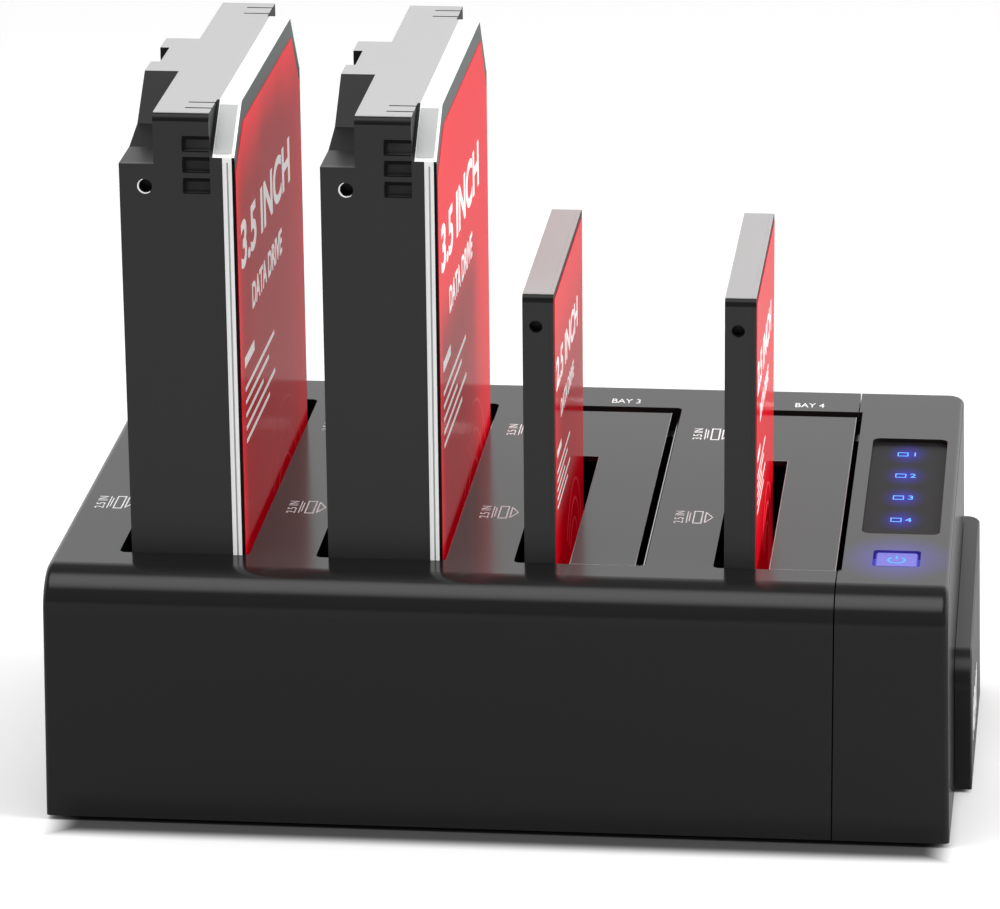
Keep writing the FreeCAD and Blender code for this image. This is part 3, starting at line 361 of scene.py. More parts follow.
def add_tones(material, front, top, painted_shade, level, depth):
    """Painted highlight above a level, painted shade behind a depth. Level is a height above the deck and
    depth a distance behind the bays' front, in millimetres.
    """
    tree = material.node_tree
    above = (DECK @ Vector((0, 0, level))).dot(deck_normal)
    rear = turn @ Vector((0, 1, 0))
    past = (DECK @ Vector((0, depth, 0))).dot(rear)
    painted_tones = add_group(material, PAINTED_TONES, Front=(*front, 1), Top=(*top, 1), Behind=(*painted_shade, 1),
                      Up=deck_normal, Level=above, Rear=rear, Depth=past)
    tree.links.new(painted_tones.outputs["Color"], tree.nodes["Principled BSDF"].inputs["Base Color"])


def add_halos(material, places, radius, power, color, stretch, strength):
    """Chain one halo group per lamp into the emission colour."""
    tree = material.node_tree
    shader = tree.nodes["Principled BSDF"]
    before = None
    for place in places:
        halo = add_group(material, HALO, Centre=place, Radius=radius, Power=power,
                         Color=(*color, 1), Stretch=stretch)
        if before:
            tree.links.new(before.outputs["Color"], halo.inputs["Add To"])
        before = halo
    tree.links.new(before.outputs["Color"], shader.inputs["Emission Color"])
    shader.inputs["Emission Strength"].default_value = strength


def deck_point(x, y, z):
    return DECK @ Vector((x, y, z))


print("material helpers ready")

# %% Places and sizes the finishes need
LAMP_X = 177.4                        # middle of the status lights, mm on the deck
LAMP_YS = (38.4, 54.1, 69.9, 85.6)    # lights, front to rear
BUTTON = (177.4, 9.4)                 # middle of the power button
DRIVE_FRONT = 0.5                     # front face of every drive, mm behind the bays' front
# large and small drives: left edge in the bay, lower and upper end, size to the rear and across
LARGE = {"left": 2.9, "bottom": -43.0, "top": 104.0, "depth": 101.6, "thick": 26.1,
         "bevel_y": 12.8, "front_bevel": 10.0, "rear_bevel": 15.5}
SMALL = {"left": 2.5, "bottom": -36.6, "top": 63.6, "depth": 69.85, "thick": 7.0}
print("places set: lamps", LAMP_YS, "button", BUTTON)

# %% Plastics, lamps and prints
housing_gloss = finish("housing_gloss_black", (0.013, 0.013, 0.013), 0.16, ior=1.46)
add_grain(housing_gloss, 1400.0, 0.16, 0.04, 0.02)

control_gloss = housing_gloss.copy()
control_gloss.name = "control_gloss_black"
add_halos(control_gloss, [deck_point(*BUTTON, 0)], 0.0140, 1.3, (0.09, 0.06, 0.95), (1, 0.85, 1), 0.42)

pod_satin = finish("pod_satin_black", (0.018, 0.018, 0.018), 0.26, ior=1.38)
add_grain(pod_satin, 1200.0, 0.26, 0.05, 0.03)
liner_matt = finish("liner_matt_black", (0.004, 0.004, 0.004), 0.6, ior=1.3)
base_matt = finish("base_matt_black", (0.02, 0.02, 0.021), 0.6)
add_grain(base_matt, 700.0, 0.6, 0.1, 0.15)
foot_rubber = finish("foot_rubber", (0.012, 0.012, 0.012), 0.8)

lens_smoked = finish("lens_smoked", (0.017, 0.017, 0.019), 0.3, ior=1.11)
add_halos(lens_smoked, [deck_point(LAMP_X, y, -1.0) for y in LAMP_YS], 0.0078, 1.9,
          (0.06, 0.03, 0.95), (1.25, 0.85, 1.0), 0.5)
lamp_blue = finish("lamp_blue", (0.1, 0.3, 0.8), 0.4, glow=(0.05, 0.34, 1.0), glow_strength=0.95)
button_violet = finish("button_violet", (0.11, 0.11, 0.36), 0.35,
                       glow=(0.11, 0.11, 0.72), glow_strength=0.5)
button_lamp = finish("button_lamp", (0.05, 0.3, 0.7), 0.4, glow=(0.02, 0.30, 0.75), glow_strength=0.7)
button_ring = finish("button_ring", (0.004, 0.004, 0.06), 0.4, glow=(0.012, 0.0, 0.36), glow_strength=0.6)
# white print, with a faint painted glow that keeps it clean white in shade
print_white = finish("print_white", (0.9, 0.9, 0.91), 0.5, glow=(1.0, 1.0, 1.0), glow_strength=0.3)
# grey print, and the painted highlight along the flaps' edges
print_grey_and_painted_highlight = finish("print_grey_and_painted_highlight", (0.33, 0.33, 0.34), 0.5)

# %% Drives, labels and inner pieces
COATED, SHADED = (0.048, 0.048, 0.049), (0.007, 0.007, 0.007)
TOP_EDGE = 0.8                        # height that a rounded top edge takes, mm
# the pale top colours below are a painted highlight; SHADED is painted shade behind the front and on the
# rounded top edge
casting_dark = finish("casting_dark", COATED, 0.34, ior=1.4)
add_tones(casting_dark, COATED, (0.53, 0.53, 0.53), SHADED, LARGE["top"] - TOP_EDGE, DRIVE_FRONT + 1.5)
case_dark = finish("case_dark", COATED, 0.34, ior=1.4)
add_tones(case_dark, COATED, (0.45, 0.45, 0.45), SHADED, SMALL["top"] - TOP_EDGE, DRIVE_FRONT + 2.0)
case_cover = case_dark.copy()
case_cover.name = "case_cover"
# near black for the cover's seam, and for painted shade in the rim's gap, under its top band and at the
# finger recesses
joint_and_painted_shade_black = finish("joint_and_painted_shade_black", (0.004, 0.004, 0.004), 0.5, ior=1.25)
cover_grey = finish("cover_grey", (0.15, 0.165, 0.16), 0.4, ior=1.2)
# pale rim metal with a painted glow; it also makes the painted highlight on a screw hole's edge
rim_bright_painted_glow = finish("rim_bright_painted_glow", (0.95, 0.95, 0.95), 0.25, glow=(1.0, 1.0, 1.0), glow_strength=0.3)
rim_grey = finish("rim_grey", (0.56, 0.57, 0.57), 0.35, metallic=0.2)
# labels and their print have a painted glow that lifts them in the shade between drives
LABEL_GLOSS_AND_GLOW = {"roughness": 0.16, "ior": 1.12, "glow_strength": 0.18}
label_red = finish("label_red", (0.85, 0.006, 0.018), glow=(1.0, 0.0, 0.015), **LABEL_GLOSS_AND_GLOW)
label_soft = finish("label_soft_red", (0.95, 0.10, 0.13), glow=(1.0, 0.05, 0.06), **LABEL_GLOSS_AND_GLOW)
label_white = finish("label_white", (0.98, 0.95, 0.95), 0.2, ior=1.12, glow=(1.0, 0.96, 0.96),
                     glow_strength=0.45)

board_green = finish("circuit_board", (0.012, 0.07, 0.035), 0.35)
chip_black = finish("chip_black", (0.014, 0.014, 0.015), 0.45)
steel = finish("bright_steel", (0.55, 0.55, 0.57), 0.28, metallic=1.0)
spring_steel = finish("spring_steel", (0.10, 0.10, 0.11), 0.4, metallic=1.0)
socket_black = finish("socket_black", (0.01, 0.01, 0.01), 0.4)
print("materials:", len(bpy.data.materials))

# %% [markdown]
# ## Dressing the CAD nodes
# A node whose shape is right only gets a finish. The table below names the finish of every node;
# names that end in a bay number share one line.

# %% Assign finishes
node_finish = {
    "main_housing": housing_gloss, "control_housing": control_gloss, "side_pod": pod_satin,
    "base_plate": base_matt, "rubber_feet": foot_rubber, "display_lens": lens_smoked,
    "control_board": board_green, "status_lights": lamp_blue, "power_switch": socket_black,
    "light_shield": button_ring, "main_board": board_green, "board_chips": chip_black,
    "board_coils": chip_black, "usb_port": steel, "power_jack": socket_black,
    "housing_screws": steel, "power_button": button_violet,
}
for bay in range(1, 5):
    large = bay <= 2
    node_finish[f"bay_liner_{bay}"] = liner_matt
    node_finish[f"flap_{bay}"] = housing_gloss
    node_finish[f"flap_pin_{bay}"] = steel
    node_finish[f"flap_spring_{bay}"] = spring_steel
    node_finish[f"drive_socket_{bay}"] = socket_black
    node_finish[f"drive_{bay}_" + ("casting" if large else "case")] = casting_dark if large else case_dark
    node_finish[f"drive_{bay}_cover"] = cover_grey if large else case_cover
    node_finish[f"drive_{bay}_label"] = label_red
    node_finish[f"drive_{bay}_connector"] = socket_black
    if large:
        node_finish[f"drive_{bay}_board"] = board_green

for name, node in frame["nodes"].items():
    node.data.materials.clear()
    node.data.materials.append(node_finish[name])
print("dressed", len(frame["nodes"]), "nodes")

# %% [markdown]
# ## Bright rim of a large drive
# The stamped cover of a large drive has a bright folded rim. It shows as a broad pale band along
# the top, as a sloped panel at the front corner and as a narrow strip down the front and rear edges.
# A black strip of painted shade lies in the gap beside the label, and a painted shadow under the top
# band's front. A folded rim could be modelled as a sheet with bends, but at this size only its outline
# shows, so each piece is a thin strip along a path in the drive's side view.


# %% A thin strip along a path
def strip(name, path, x_low, x_high, thickness, body, material):
    """Thin strip that follows a path in y and z, between two x, raised off the path."""
    sharpest = 0.3                    # limits how far the offset is stretched at a sharp corner
    shape = bmesh.new()
    rows = []
    for i, (y, z) in enumerate(path):
        before = Vector(path[max(i - 1, 0)])
        after = Vector(path[min(i + 1, len(path) - 1)])
        here = Vector((y, z))
        normals = []
        for a, b in ((before, here), (here, after)):
            if (b - a).length > 0:
                along = (b - a).normalized()
                normals.append(Vector((-along.y, along.x)))
        out = sum(normals, Vector((0, 0))).normalized()
        out = out / max(out.dot(normals[0]), sharpest)
        lower = here
        upper = here + out * thickness
        corners = [(x_low, lower), (x_low, upper), (x_high, upper), (x_high, lower)]
        rows.append([shape.verts.new((x, point.x, point.y)) for x, point in corners])
    for first, second in zip(rows, rows[1:]):
        for i in range(4):
            j = (i + 1) % 4
            shape.faces.new((first[i], first[j], second[j], second[i]))
    shape.faces.new(rows[0])
    shape.faces.new(list(reversed(rows[-1])))
    bmesh.ops.recalc_face_normals(shape, faces=shape.faces)
    mesh = bpy.data.meshes.new(name)
    shape.to_mesh(mesh)
    shape.free()
    return finish_piece(mesh_object(name, mesh), Matrix(), body, material)


print("strips ready")

# %% Rims
FOOT_MARGIN = 2                       # the rims end this far above the drive's lower edge
TOP_BAND = 4.9                        # the rim's band along the top, across
STRIP_IN, STRIP_OUT = 2.7, 0.6        # the strip down an edge, both measured in from the label
GROOVE_IN, GROOVE_OUT = 1.75, 1.35    # the groove in that strip


def make_rim(bay):
    left = BAY_PITCH * (bay - 1) + LARGE["left"]
    outer = left + LARGE["thick"] + 0.05
    front, rear = DRIVE_FRONT, DRIVE_FRONT + LARGE["depth"]
    top, bevel = LARGE["top"], LARGE["bevel_y"]
    front_corner, rear_corner = top - LARGE["front_bevel"], top - LARGE["rear_bevel"]
    foot = LARGE["bottom"] + FOOT_MARGIN
    body = f"drive_{bay}"
    upper = [(rear, rear_corner), (rear - bevel, top), (front + bevel, top), (front, front_corner)]
    strip(f"rim_top_{bay}", upper, outer - TOP_BAND, outer, 0.35, body, rim_bright_painted_glow)

    panel_top = (front + 0.9 * bevel, top - 0.1 * LARGE["front_bevel"])
    panel_foot = (front + 0.06 * bevel, front_corner + 0.6)
    lifted = [(y - 0.24, z + 0.3) for y, z in (panel_top, panel_foot)]
    strip(f"rim_panel_{bay}", lifted, outer - 4.65, outer - STRIP_OUT, 0.1, body, rim_grey)

    for side, path in (("front", [(front, front_corner), (front, foot)]),
                       ("rear", [(rear, foot), (rear, rear_corner)])):
        strip(f"rim_{side}_{bay}", path, outer - STRIP_IN, outer - STRIP_OUT, 0.3, body, rim_bright_painted_glow)
        # the black strip beside the label is painted shade in a narrow gap
        strip(f"rim_{side}_gap_{bay}", path, outer - STRIP_OUT, outer, 0.2, body, joint_and_painted_shade_black)
    groove = [(front - 0.29, front_corner - 1), (front - 0.29, foot)]
    strip(f"rim_groove_{bay}", groove, outer - GROOVE_IN, outer - GROOVE_OUT, 0.05, body, rim_grey)

    seam = bar(0.0, FOOT_MARGIN, 0.9, front_corner - 0.8 - LARGE["bottom"])
    side_face = on_side(left + LARGE["thick"], front, LARGE["bottom"])
    plate(f"cover_seam_{bay}", [seam], 0.05, side_face, body, joint_and_painted_shade_black)
    # painted shadow under the front of the rim's top band
    just_under = top - 0.02
    shadow_foot = (front + 0.5, front_corner + 0.2)
    shadow = [(front + bevel + 4, just_under), (front + bevel, just_under), shadow_foot]
    strip(f"rim_shadow_{bay}", shadow, outer - 5.6, outer - TOP_BAND, 0.12, body, joint_and_painted_shade_black)


print("a rim has a top strip, a panel, front and rear strips with a gap, a groove, a seam and a shadow")

# %% [markdown]
# ## Front of a large drive
# The casting has a screw hole and three finger recesses at the front, cut in the CAD. A painted
# highlight marks the hole's lower left edge, where it catches the light, and painted shade darkens
# the recesses' edges. Real bevels on the casting would show this too, but flat shapes on its face are
# simpler and leave the CAD node alone.

# %% Rims, and edges of the screw hole and the finger recesses
HOLE = (5.8, 130.1, 1.75)             # screw hole: across, up, radius of its lit edge
RECESS = (14.5, 138.5, 6.1, 3.3)      # top finger recess: across, up, width, height
RECESS_STEP = 4.85                    # one recess to the next


def crescent(radius):
    """Lit lower left edge of a hole, round the hole's middle."""
    angles = [math.radians(110 + 200 * i / 20) for i in range(21)]
    outer = [(radius * math.cos(a), radius * math.sin(a)) for a in angles]
    inner = [(0.16 + 0.9 * x, 0.1 + 0.9 * y) for x, y in reversed(outer)]
    return outer + inner


def on_front(x, y, z):
    """Flat piece on a front face: its x to the right, its y upwards, its thickness to the front."""
    return Matrix.Translation((x, y, z)) @ Matrix.Rotation(math.pi / 2, 4, "X")


for bay in (1, 2):
    make_rim(bay)
    left = BAY_PITCH * (bay - 1) + LARGE["left"]
    hole_place = on_front(left + HOLE[0], DRIVE_FRONT, LARGE["bottom"] + HOLE[1])
    plate(f"hole_edge_{bay}", [crescent(HOLE[2])], 0.04, hole_place,
          f"drive_{bay}", rim_bright_painted_glow)
    width, height = RECESS[2:]
    # painted shade along the edges of each finger recess
    recess_painted_shade = []
    for k in range(3):
        low = -RECESS_STEP * k
        recess_painted_shade += [bar(0, low + height - 0.7, width, low + height + 0.1),
                         bar(-0.1, low, 0.5, low + height - 0.7), bar(0, low - 0.25, width, low)]
    recess_place = on_front(left + RECESS[0], DRIVE_FRONT, LARGE["bottom"] + RECESS[1])
    plate(f"recess_painted_shade_{bay}", recess_painted_shade, 0.04, recess_place,
          f"drive_{bay}", joint_and_painted_shade_black)
print("rims, hole edges and recess edges on drives 1 and 2")

# %% [markdown]
# ## Labels
# Each drive carries a glossy red label. Its print is a plain design: the drive's size in large
# figures, a second line of words, a dash with bars that stand for small print, and faint arcs like
# the tracks of a disk. Print can be an image or flat shapes. Flat shapes stay sharp at any size, and
# all of them take their place from the label's own width and height.


# %% Label print
ARC_RADII = (0.14, 0.21, 0.28)        # arcs, as shares of the label's width
ARC_LINE = 0.7                        # width of an arc's line, mm
INK = 0.022                           # how much bolder the words are than the plain font


def label_print(bay, figure, box):
    """Print on one label: box is (x, y0, y1, z0, z1) of the label's face."""
    x, y0, y1, z0, z1 = box
    body = f"drive_{bay}"
    wide, high = y1 - y0, z1 - z0
    face = on_side(x, y0, z0)
    letters = 0.15 * wide

    def words(name, text, height, across, up, spread=1.0):
        place = on_side(x + 0.02, y0 + across * wide, z0 + up * high)
        lettering(f"{name}_{bay}", text, height, place, body, label_white,
                  width=spread, weight=INK)

    words("label_figure", figure, letters, 0.43, 0.80, 1.3)
    words("label_words", "DATA DRIVE", 0.55 * letters, 0.42, 0.69)
    rows = [bar(0.06 * wide, 0.60 * high, 0.20 * wide, 0.617 * high)]
    for k in range(5):
        line_foot = 0.56 - 0.022 * k
        line_end = 0.5 - 0.09 * (k % 3)
        rows.append(bar(0.06 * wide, line_foot * high, line_end * wide, (line_foot + 0.007) * high))
    plate(f"label_lines_{bay}", rows, 0.03, face, body, label_white)
    arcs = [arc_band(0.62 * wide, 0.22 * high, radius * wide - ARC_LINE, radius * wide, -60, 150)
            for radius in ARC_RADII]
    plate(f"label_rings_{bay}", arcs, 0.03, face, body, label_soft)


LARGE_INSET = 1.0                     # label edge to the drive's edge
LARGE_TOP_INSET = 5.2
SMALL_INSET = 1.6
LABEL_THICKNESS = 0.15

for bay in (1, 2):
    x = BAY_PITCH * (bay - 1) + LARGE["left"] + LARGE["thick"] + LABEL_THICKNESS
    label_print(bay, "3.5 INCH", (x, DRIVE_FRONT + LARGE_INSET, DRIVE_FRONT + LARGE["depth"] - LARGE_INSET,
                                  LARGE["bottom"] + LARGE_INSET, LARGE["top"] - LARGE_TOP_INSET))
for bay in (3, 4):
    x = BAY_PITCH * (bay - 1) + SMALL["left"] + SMALL["thick"] + LABEL_THICKNESS
    label_print(bay, "2.5 INCH", (x, DRIVE_FRONT + SMALL_INSET, DRIVE_FRONT + SMALL["depth"] - SMALL_INSET,
                                  SMALL["bottom"] + SMALL_INSET, SMALL["top"] - SMALL_INSET))
print("labels printed")

# %% [markdown]
# ## Prints on the deck
# Beside each bay the deck shows in white which size of drive goes where, and behind it the bay's
# number. On the real dock this is screen print, a film with no height to speak of. Here it is thin
# flat shapes again: the size in inches, read from the right, two thin lines, and a small drive
# outline with an arrow head towards the bay.


# %% Deck prints
def size_sign(bay, words, y):
    left = BAY_PITCH * (bay - 1)
    name = words.split()[0].replace(".", "_")
    lettering(f"size_{name}_{bay}", words, 3.1, on_deck(left - 10.0, y, 0.0), "dock",
              print_white, spin=math.pi / 2, width=1.1)
    small = [bar(-8.4, -4.0, -8.15, 4.0), bar(-7.8, -3.0, -7.55, 3.0)]
    outline = [bar(-6.9, -4.3, -6.6, 4.3), bar(-5.0, -4.3, -4.7, 4.3),
               bar(-6.6, -4.3, -5.0, -3.8), bar(-6.6, 3.8, -5.0, 4.3)]
    head = [bar(-4.2, -3.6, -3.9, 3.6), [(-3.9, -3.6), (-2.2, 0.0), (-2.55, 0.0), (-3.9, -2.9)],
            [(-3.9, 3.6), (-3.9, 2.9), (-2.55, 0.0), (-2.2, 0.0)]]
    plate(f"sign_{name}_{bay}", small + outline + head, 0.02, on_deck(left, y, 0.0), "dock",
          print_white)


SMALL_SIGN_Y, LARGE_SIGN_Y = 33.9, 94.3
BAY_NUMBER = (15.8, 118.2)            # middle of the bay's number, from the bay's left edge

for bay in range(1, 5):
    size_sign(bay, "2.5 IN", SMALL_SIGN_Y)
    size_sign(bay, "3.5 IN", LARGE_SIGN_Y)
    number_place = on_deck(BAY_PITCH * (bay - 1) + BAY_NUMBER[0], BAY_NUMBER[1], 0.0)
    lettering(f"bay_number_{bay}", f"BAY {bay}", 4.6, number_place, "dock",
              print_white, width=0.62)
print("deck prints done")

# %% [markdown]
# ## Edges, wires and side prints
# The flaps have a thin edge that catches the light, and a stop wire runs under the deck in the gap
# beside each flap. Both are too fine for a bevel to carry, so they are narrow bars. The pod and the
# rear wall carry a few plain words.


# %% Flap edges and stop wires
for bay in (3, 4):
    left = BAY_PITCH * (bay - 1)
    # painted highlight along the flap's edges
    edges = [bar(12.7, 0.45, 27.8, 0.62), bar(12.7, 0.62, 12.92, 76.0), bar(0.45, 76.0, 12.92, 76.25),
             bar(27.62, 0.62, 27.8, 110.2)]
    plate(f"flap_edge_{bay}", edges, 0.02, on_deck(left, 0, -0.15), f"flap_{bay}",
          print_grey_and_painted_highlight)
for bay in range(1, 5):
    left = BAY_PITCH * (bay - 1)
    plate(f"stop_wire_{bay}", [bar(29.0, -0.6, 29.25, 114.6)], 0.25, on_deck(left, 0, -2.8), "dock",
          steel)
print("edges on flaps 3 and 4, four stop wires")

# %% Words on the pod and the rear wall
POD_LEAN = 1.2 / 59.1                 # the pod's outer face leans out by this slope towards its foot
POD_EDGE = 193.8                      # its x at the deck's level
POD_WORDS = (62.0, -56.0)             # middle of the words: y and z

# spun against the deck's slope, so that they stand level
words_x = POD_EDGE - POD_LEAN * POD_WORDS[1]
pod_face = Matrix.Translation((words_x, *POD_WORDS)) @ Matrix.Rotation(-math.atan(POD_LEAN), 4, "Y")
lettering("pod_words", "4 BAY", 15.0, pod_face @ on_side(0.04, 0, 0), "dock",
          print_white, spin=-slope)


def on_rear(x, y, z):
    """Flat piece on the rear wall, read from behind."""
    faced_back = Matrix.Rotation(math.pi, 4, "Z") @ Matrix.Rotation(math.pi / 2, 4, "X")
    return Matrix.Translation((x, y, z)) @ faced_back


REAR_WALL = 130.0                     # y of the rear wall's face
for name, words, x in (("jack_words", "12 V", 26.6), ("data_words", "DATA", 58.1)):
    lettering(name, words, 4.0, on_rear(x, REAR_WALL, -31.5), "dock", print_grey_and_painted_highlight)
print("words on the pod and the rear wall")

# %% [markdown]
# ## Chips on the large drives' boards
# The board of a large drive lies in its left side, with a few flat chips on it. They could be bought
# parts placed one by one, but they are seen from a distance, so three low blocks stand for them.

# %% Chips
towards_left = Matrix(((0, 0, -1, 0), (1, 0, 0, 0), (0, 1, 0, 0), (0, 0, 0, 1)))
for bay in (1, 2):
    left = BAY_PITCH * (bay - 1) + LARGE["left"]
    chips = [bar(14, 20, 26, 32), bar(44, 12, 52, 20), bar(74, 22, 84, 30)]
    place = Matrix.Translation((left + 0.4, DRIVE_FRONT, -24.0)) @ towards_left
    plate(f"drive_chips_{bay}", chips, 0.3, place, f"drive_{bay}", chip_black)
print("chips on drives 1 and 2")

# %% [markdown]
# ## Lit signs
# Under the smoked lens four lamps light one small sign each, a drive outline with its number. The
# button is lit from behind and has the usual ring with a bar on it. The lit shapes glow by
# themselves, and the halo round them is part of the lens and deck finishes, so no lamp is needed.

# %% Lamps and button sign
for bay, y in zip((4, 3, 2, 1), LAMP_YS):
    outline = [bar(-2.5, -1.4, 0.1, -1.0), bar(-2.5, 1.0, 0.1, 1.4),
               bar(-2.5, -1.0, -2.25, 1.0), bar(-0.15, -1.0, 0.1, 1.0)]
    plate(f"lamp_sign_{bay}", outline, 0.02, on_deck(LAMP_X, y, -0.99), "dock", lamp_blue)
    lettering(f"lamp_number_{bay}", str(bay), 4.0, on_deck(LAMP_X + 1.7, y, -0.98), "dock",
              lamp_blue, width=0.8)

plate("button_edge", [bar(-4.5, -4.75, 4.5, -4.2)], 0.02, on_deck(BUTTON[0], BUTTON[1], -0.3),
      "power_button", button_ring)
ring = arc_band(0, 0, 1.65, 2.15, 125, 415)
stroke = bar(-0.25, 0.7, 0.25, 2.7)
plate("button_sign", [ring, stroke], 0.02, on_deck(BUTTON[0], BUTTON[1] - 0.2, -0.3), "power_button",
      button_lamp)
print("lit signs done")

# %% [markdown]
# ## Studio
# The object stands on a white sheet before a white backdrop. A glossy black object shows its form by
# what it mirrors, and an all-white room would wash it out. So the camera, and rays that pass through
# clear pieces, see white, and all other rays meet a darker matt floor and a sky that is white near
# the rear horizon, dark overhead and to the front, with a soft light high above the front edge. Real
# flags and soft boxes could do the same, but in the sky and floor shaders it stays smooth.


# %% Which rays see what
def seen_by(tree, *kinds):
    """1 for rays of these kinds, 0 for others."""
    path = tree.nodes.new("ShaderNodeLightPath")
    total = path.outputs[f"Is {kinds[0]} Ray"]
    for kind in kinds[1:]:
        total = math_node(tree, "MAXIMUM", total, path.outputs[f"Is {kind} Ray"])
    return total


print("camera and clear pieces see white, other rays see the studio")

# %% [markdown]
# ## Floor
# The seen floor is shaded where things stand close over it. Along the housing's front foot a darker
# contact shade is painted on it by place, because so even a light casts hardly any there.

# %% Floor
FLOOR_HALF = 9.0                      # half the floor's side, m
STUDIO_FLOOR = 0.3                    # its grey for rays from the object
SEEN_FLOOR = 0.8                      # its grey for the camera
SEEN_GLOW = 0.36                      # glow that lifts the seen floor to white
MIRRORED_SHARE = 0.15                 # how much of the seen floor the glossy pieces mirror
SHADE_REACH = 0.05                    # things closer than this shade the floor, m
FOOT_X, FOOT_Z = (-8.0, 185.0), -60.0  # ends of the housing's foot, mm on the deck's axes
CONTACT_WIDTH = 0.0095                # the contact shade fades out over this, m
CONTACT_LIGHT = 0.08                  # light left at the foot itself
CONTACT_REAR = -0.03                  # the contact shade ends at this y, m

floor_mesh = bpy.data.meshes.new("floor")
floor_corners = [(-FLOOR_HALF, -FLOOR_HALF, 0), (FLOOR_HALF, -FLOOR_HALF, 0),
                 (FLOOR_HALF, FLOOR_HALF, 0), (-FLOOR_HALF, FLOOR_HALF, 0)]
floor_mesh.from_pydata(floor_corners, [], [(0, 1, 2, 3)])
floor = mesh_object("floor", floor_mesh)
floor_white = bpy.data.materials.new("floor_white")
floor_white.use_nodes = True
tree = floor_white.node_tree
tree.nodes.clear()
output = tree.nodes.new("ShaderNodeOutputMaterial")
matt = tree.nodes.new("ShaderNodeBsdfDiffuse")
matt.inputs["Color"].default_value = (STUDIO_FLOOR, STUDIO_FLOOR, STUDIO_FLOOR, 1)
pale = tree.nodes.new("ShaderNodeBsdfDiffuse")
open_air = tree.nodes.new("ShaderNodeAmbientOcclusion")
open_air.inputs["Distance"].default_value = SHADE_REACH
glow = tree.nodes.new("ShaderNodeEmission")
lit = tree.nodes.new("ShaderNodeAddShader")
tree.links.new(pale.outputs[0], lit.inputs[0])
tree.links.new(glow.outputs[0], lit.inputs[1])

# distance from the foot's front edge, on the floor
spot = tree.nodes.new("ShaderNodeSeparateXYZ")
tree.links.new(tree.nodes.new("ShaderNodeTexCoord").outputs["Object"], spot.inputs[0])
foot_left, foot_right = [(DECK @ Vector((x, 0, FOOT_Z))).x for x in FOOT_X]
off_middle = math_node(tree, "SUBTRACT", spot.outputs["X"], (foot_left + foot_right) / 2)
beside = math_node(tree, "ABSOLUTE", off_middle)
beside = math_node(tree, "SUBTRACT", beside, (foot_right - foot_left) / 2)
beside = math_node(tree, "MULTIPLY", beside, 1.1)
before = math_node(tree, "SUBTRACT", cad_bounds[0][1] + MM, spot.outputs["Y"])
past_front = math_node(tree, "SUBTRACT", spot.outputs["Y"], CONTACT_REAR)
away = math_node(tree, "MAXIMUM", beside, math_node(tree, "MAXIMUM", before, past_front))
contact = range_node(tree, away, 0.0, CONTACT_WIDTH, CONTACT_LIGHT, 1.0)
open_share = math_node(tree, "MULTIPLY", open_air.outputs["AO"], contact)
tree.links.new(math_node(tree, "MULTIPLY", open_share, SEEN_GLOW), glow.inputs["Strength"])
tree.links.new(math_node(tree, "MULTIPLY", contact, SEEN_FLOOR), pale.inputs["Color"])

direct = seen_by(tree, "Camera", "Transmission")
mirrored = math_node(tree, "MULTIPLY", seen_by(tree, "Glossy"), MIRRORED_SHARE)
shown = tree.nodes.new("ShaderNodeMixShader")
tree.links.new(math_node(tree, "MAXIMUM", direct, mirrored), shown.inputs[0])
tree.links.new(matt.outputs[0], shown.inputs[1])
tree.links.new(lit.outputs[0], shown.inputs[2])
tree.links.new(shown.outputs[0], output.inputs[0])
floor.data.materials.append(floor_white)
print("floor foot shade from", round(foot_left, 4), "to", round(foot_right, 4), "m")

# %% [markdown]
# ## Sky
# The sky's brightness falls with the height and towards the front, and a soft round light is added
# to it. A picture of a studio could do the same. Here three smooth ramps over the direction do it, and
# each can be changed alone.

# %% Sky
SKY_HEIGHTS = (0.46, 0.80)            # from white sky to dark sky, sine of the height
SKY_LIGHT = (1.0, 0.22)
FRONT_TURN = (-0.1, 0.6)              # from the rear half to the front, cosine of the turn
FRONT_LIGHT = (1.0, 0.2)
SOFT_LIGHT_TOWARDS = (-0.1, -0.38, 0.919)
SOFT_LIGHT_EDGE = 0.86                # cosine of the angle at which the soft light ends
SOFT_LIGHT = 2.4

world = bpy.data.worlds.new("studio")
bpy.context.scene.world = world
world.use_nodes = True
tree = world.node_tree
background = tree.nodes["Background"]
background.inputs["Color"].default_value = (1, 1, 1, 1)
direction = tree.nodes.new("ShaderNodeTexCoord").outputs["Generated"]
height = dot_node(tree, direction, (0, 0, 1))
sky = range_node(tree, height, *SKY_HEIGHTS, *SKY_LIGHT)
towards_front = dot_node(tree, direction, (0, -1, 0))
front_share = range_node(tree, towards_front, *FRONT_TURN, *FRONT_LIGHT)
towards_light = dot_node(tree, direction, SOFT_LIGHT_TOWARDS)
soft_light = range_node(tree, towards_light, SOFT_LIGHT_EDGE, 1.0, 0.0, SOFT_LIGHT)
total = math_node(tree, "ADD", math_node(tree, "MULTIPLY", sky, front_share), soft_light)
strength = tree.nodes.new("ShaderNodeMix")
tree.links.new(seen_by(tree, "Camera", "Transmission"), strength.inputs["Factor"])
tree.links.new(total, strength.inputs["A"])
strength.inputs["B"].default_value = 1.0
tree.links.new(strength.outputs[0], background.inputs["Strength"])
print("sky ready, soft light towards", SOFT_LIGHT_TOWARDS)

# %% [markdown]
# ## Lamps
# Two weak square lamps lift the matt surfaces, mostly the labels on the right sides. The glossy
# pieces don't mirror them, because the sky already gives their reflections.


# %% Lamps of the studio
LAMPS_AIM = Vector((0, 0, 0.08))      # middle of the object, m


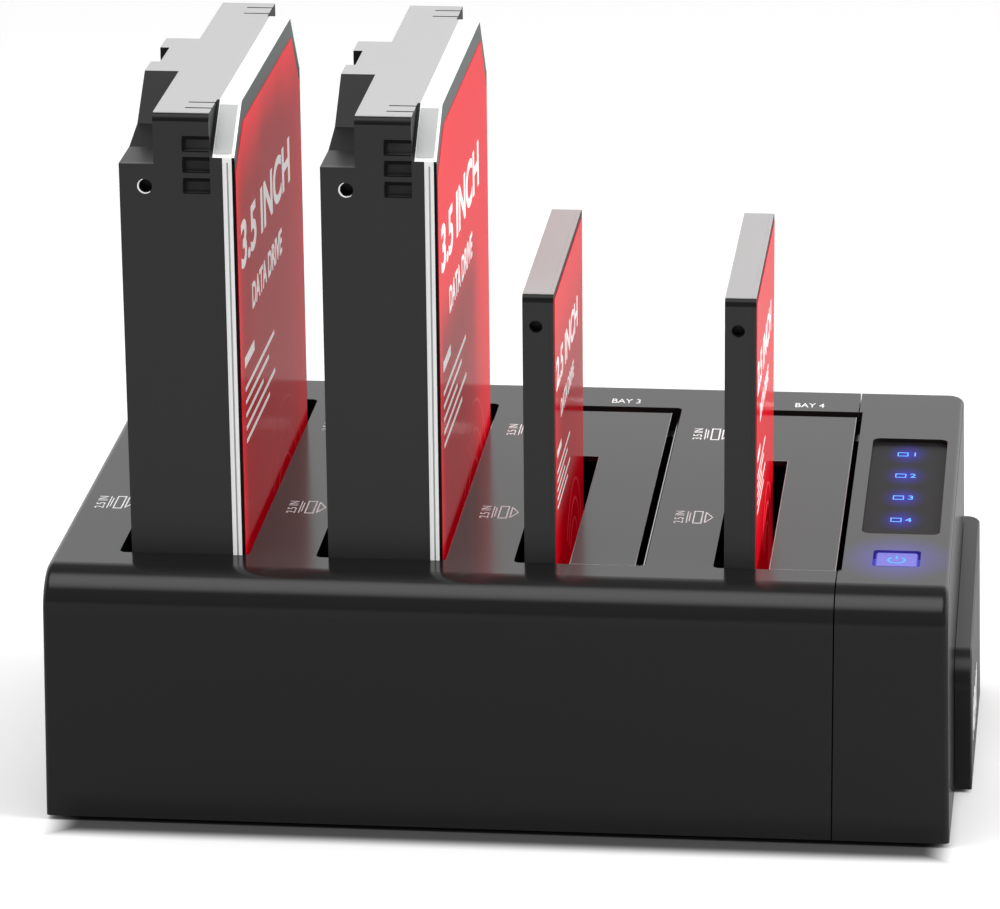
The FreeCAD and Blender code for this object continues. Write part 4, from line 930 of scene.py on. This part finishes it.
def soft_box(name, place, side, power):
    """Square lamp at a place, aimed at the object and not mirrored by it."""
    light = bpy.data.lights.new(name, "AREA")
    light.shape = "RECTANGLE"
    light.size = side
    light.size_y = side
    light.energy = power
    lamp = bpy.data.objects.new(name, light)
    bpy.context.collection.objects.link(lamp)
    lamp.location = place
    lamp.rotation_euler = (LAMPS_AIM - Vector(place)).to_track_quat("-Z", "Y").to_euler()
    lamp.visible_glossy = False


soft_box("left_box", (-0.9, -0.5, 1.1), 0.8, 5.0)
soft_box("right_box", (1.2, -0.3, 0.7), 0.7, 15.0)
print("two weak lamps, 5 W left and 15 W right")

# %% [markdown]
# ## Camera
# A long lens from the front, a little to the right and from above the deck. A long lens keeps the
# upright edges of the drives nearly parallel. The angles are given against the deck, where they are
# easiest to read, and then turned with it.

# %% Camera
VIEW_AZIMUTH = math.radians(6.33)
VIEW_ELEVATION = math.radians(18.87)
VIEW_ROLL = math.radians(-0.633)
VIEW_DISTANCE = 1260.8
VIEW_TARGET = Vector((81.55, 58.25, 5.85))

back = Vector((math.sin(VIEW_AZIMUTH) * math.cos(VIEW_ELEVATION),
               -math.cos(VIEW_AZIMUTH) * math.cos(VIEW_ELEVATION), math.sin(VIEW_ELEVATION)))
level_right = (-back).cross(Vector((0, 0, 1))).normalized()
level_up = level_right.cross(-back)
right = math.cos(VIEW_ROLL) * level_right + math.sin(VIEW_ROLL) * level_up
up = -math.sin(VIEW_ROLL) * level_right + math.cos(VIEW_ROLL) * level_up
axes = Matrix((right, up, back)).transposed().to_4x4()
camera_data = bpy.data.cameras.new("camera")
camera_data.lens = 191.15
camera_data.sensor_width = 36.0
camera_data.clip_end = 30.0
camera = bpy.data.objects.new("camera", camera_data)
bpy.context.collection.objects.link(camera)
camera.matrix_world = Matrix.Translation(DECK @ (VIEW_TARGET + back * VIEW_DISTANCE)) @ turn @ axes
bpy.context.scene.camera = camera
bpy.context.scene.view_settings.view_transform = "Standard"
print("camera at", [round(v, 3) for v in camera.matrix_world.translation])
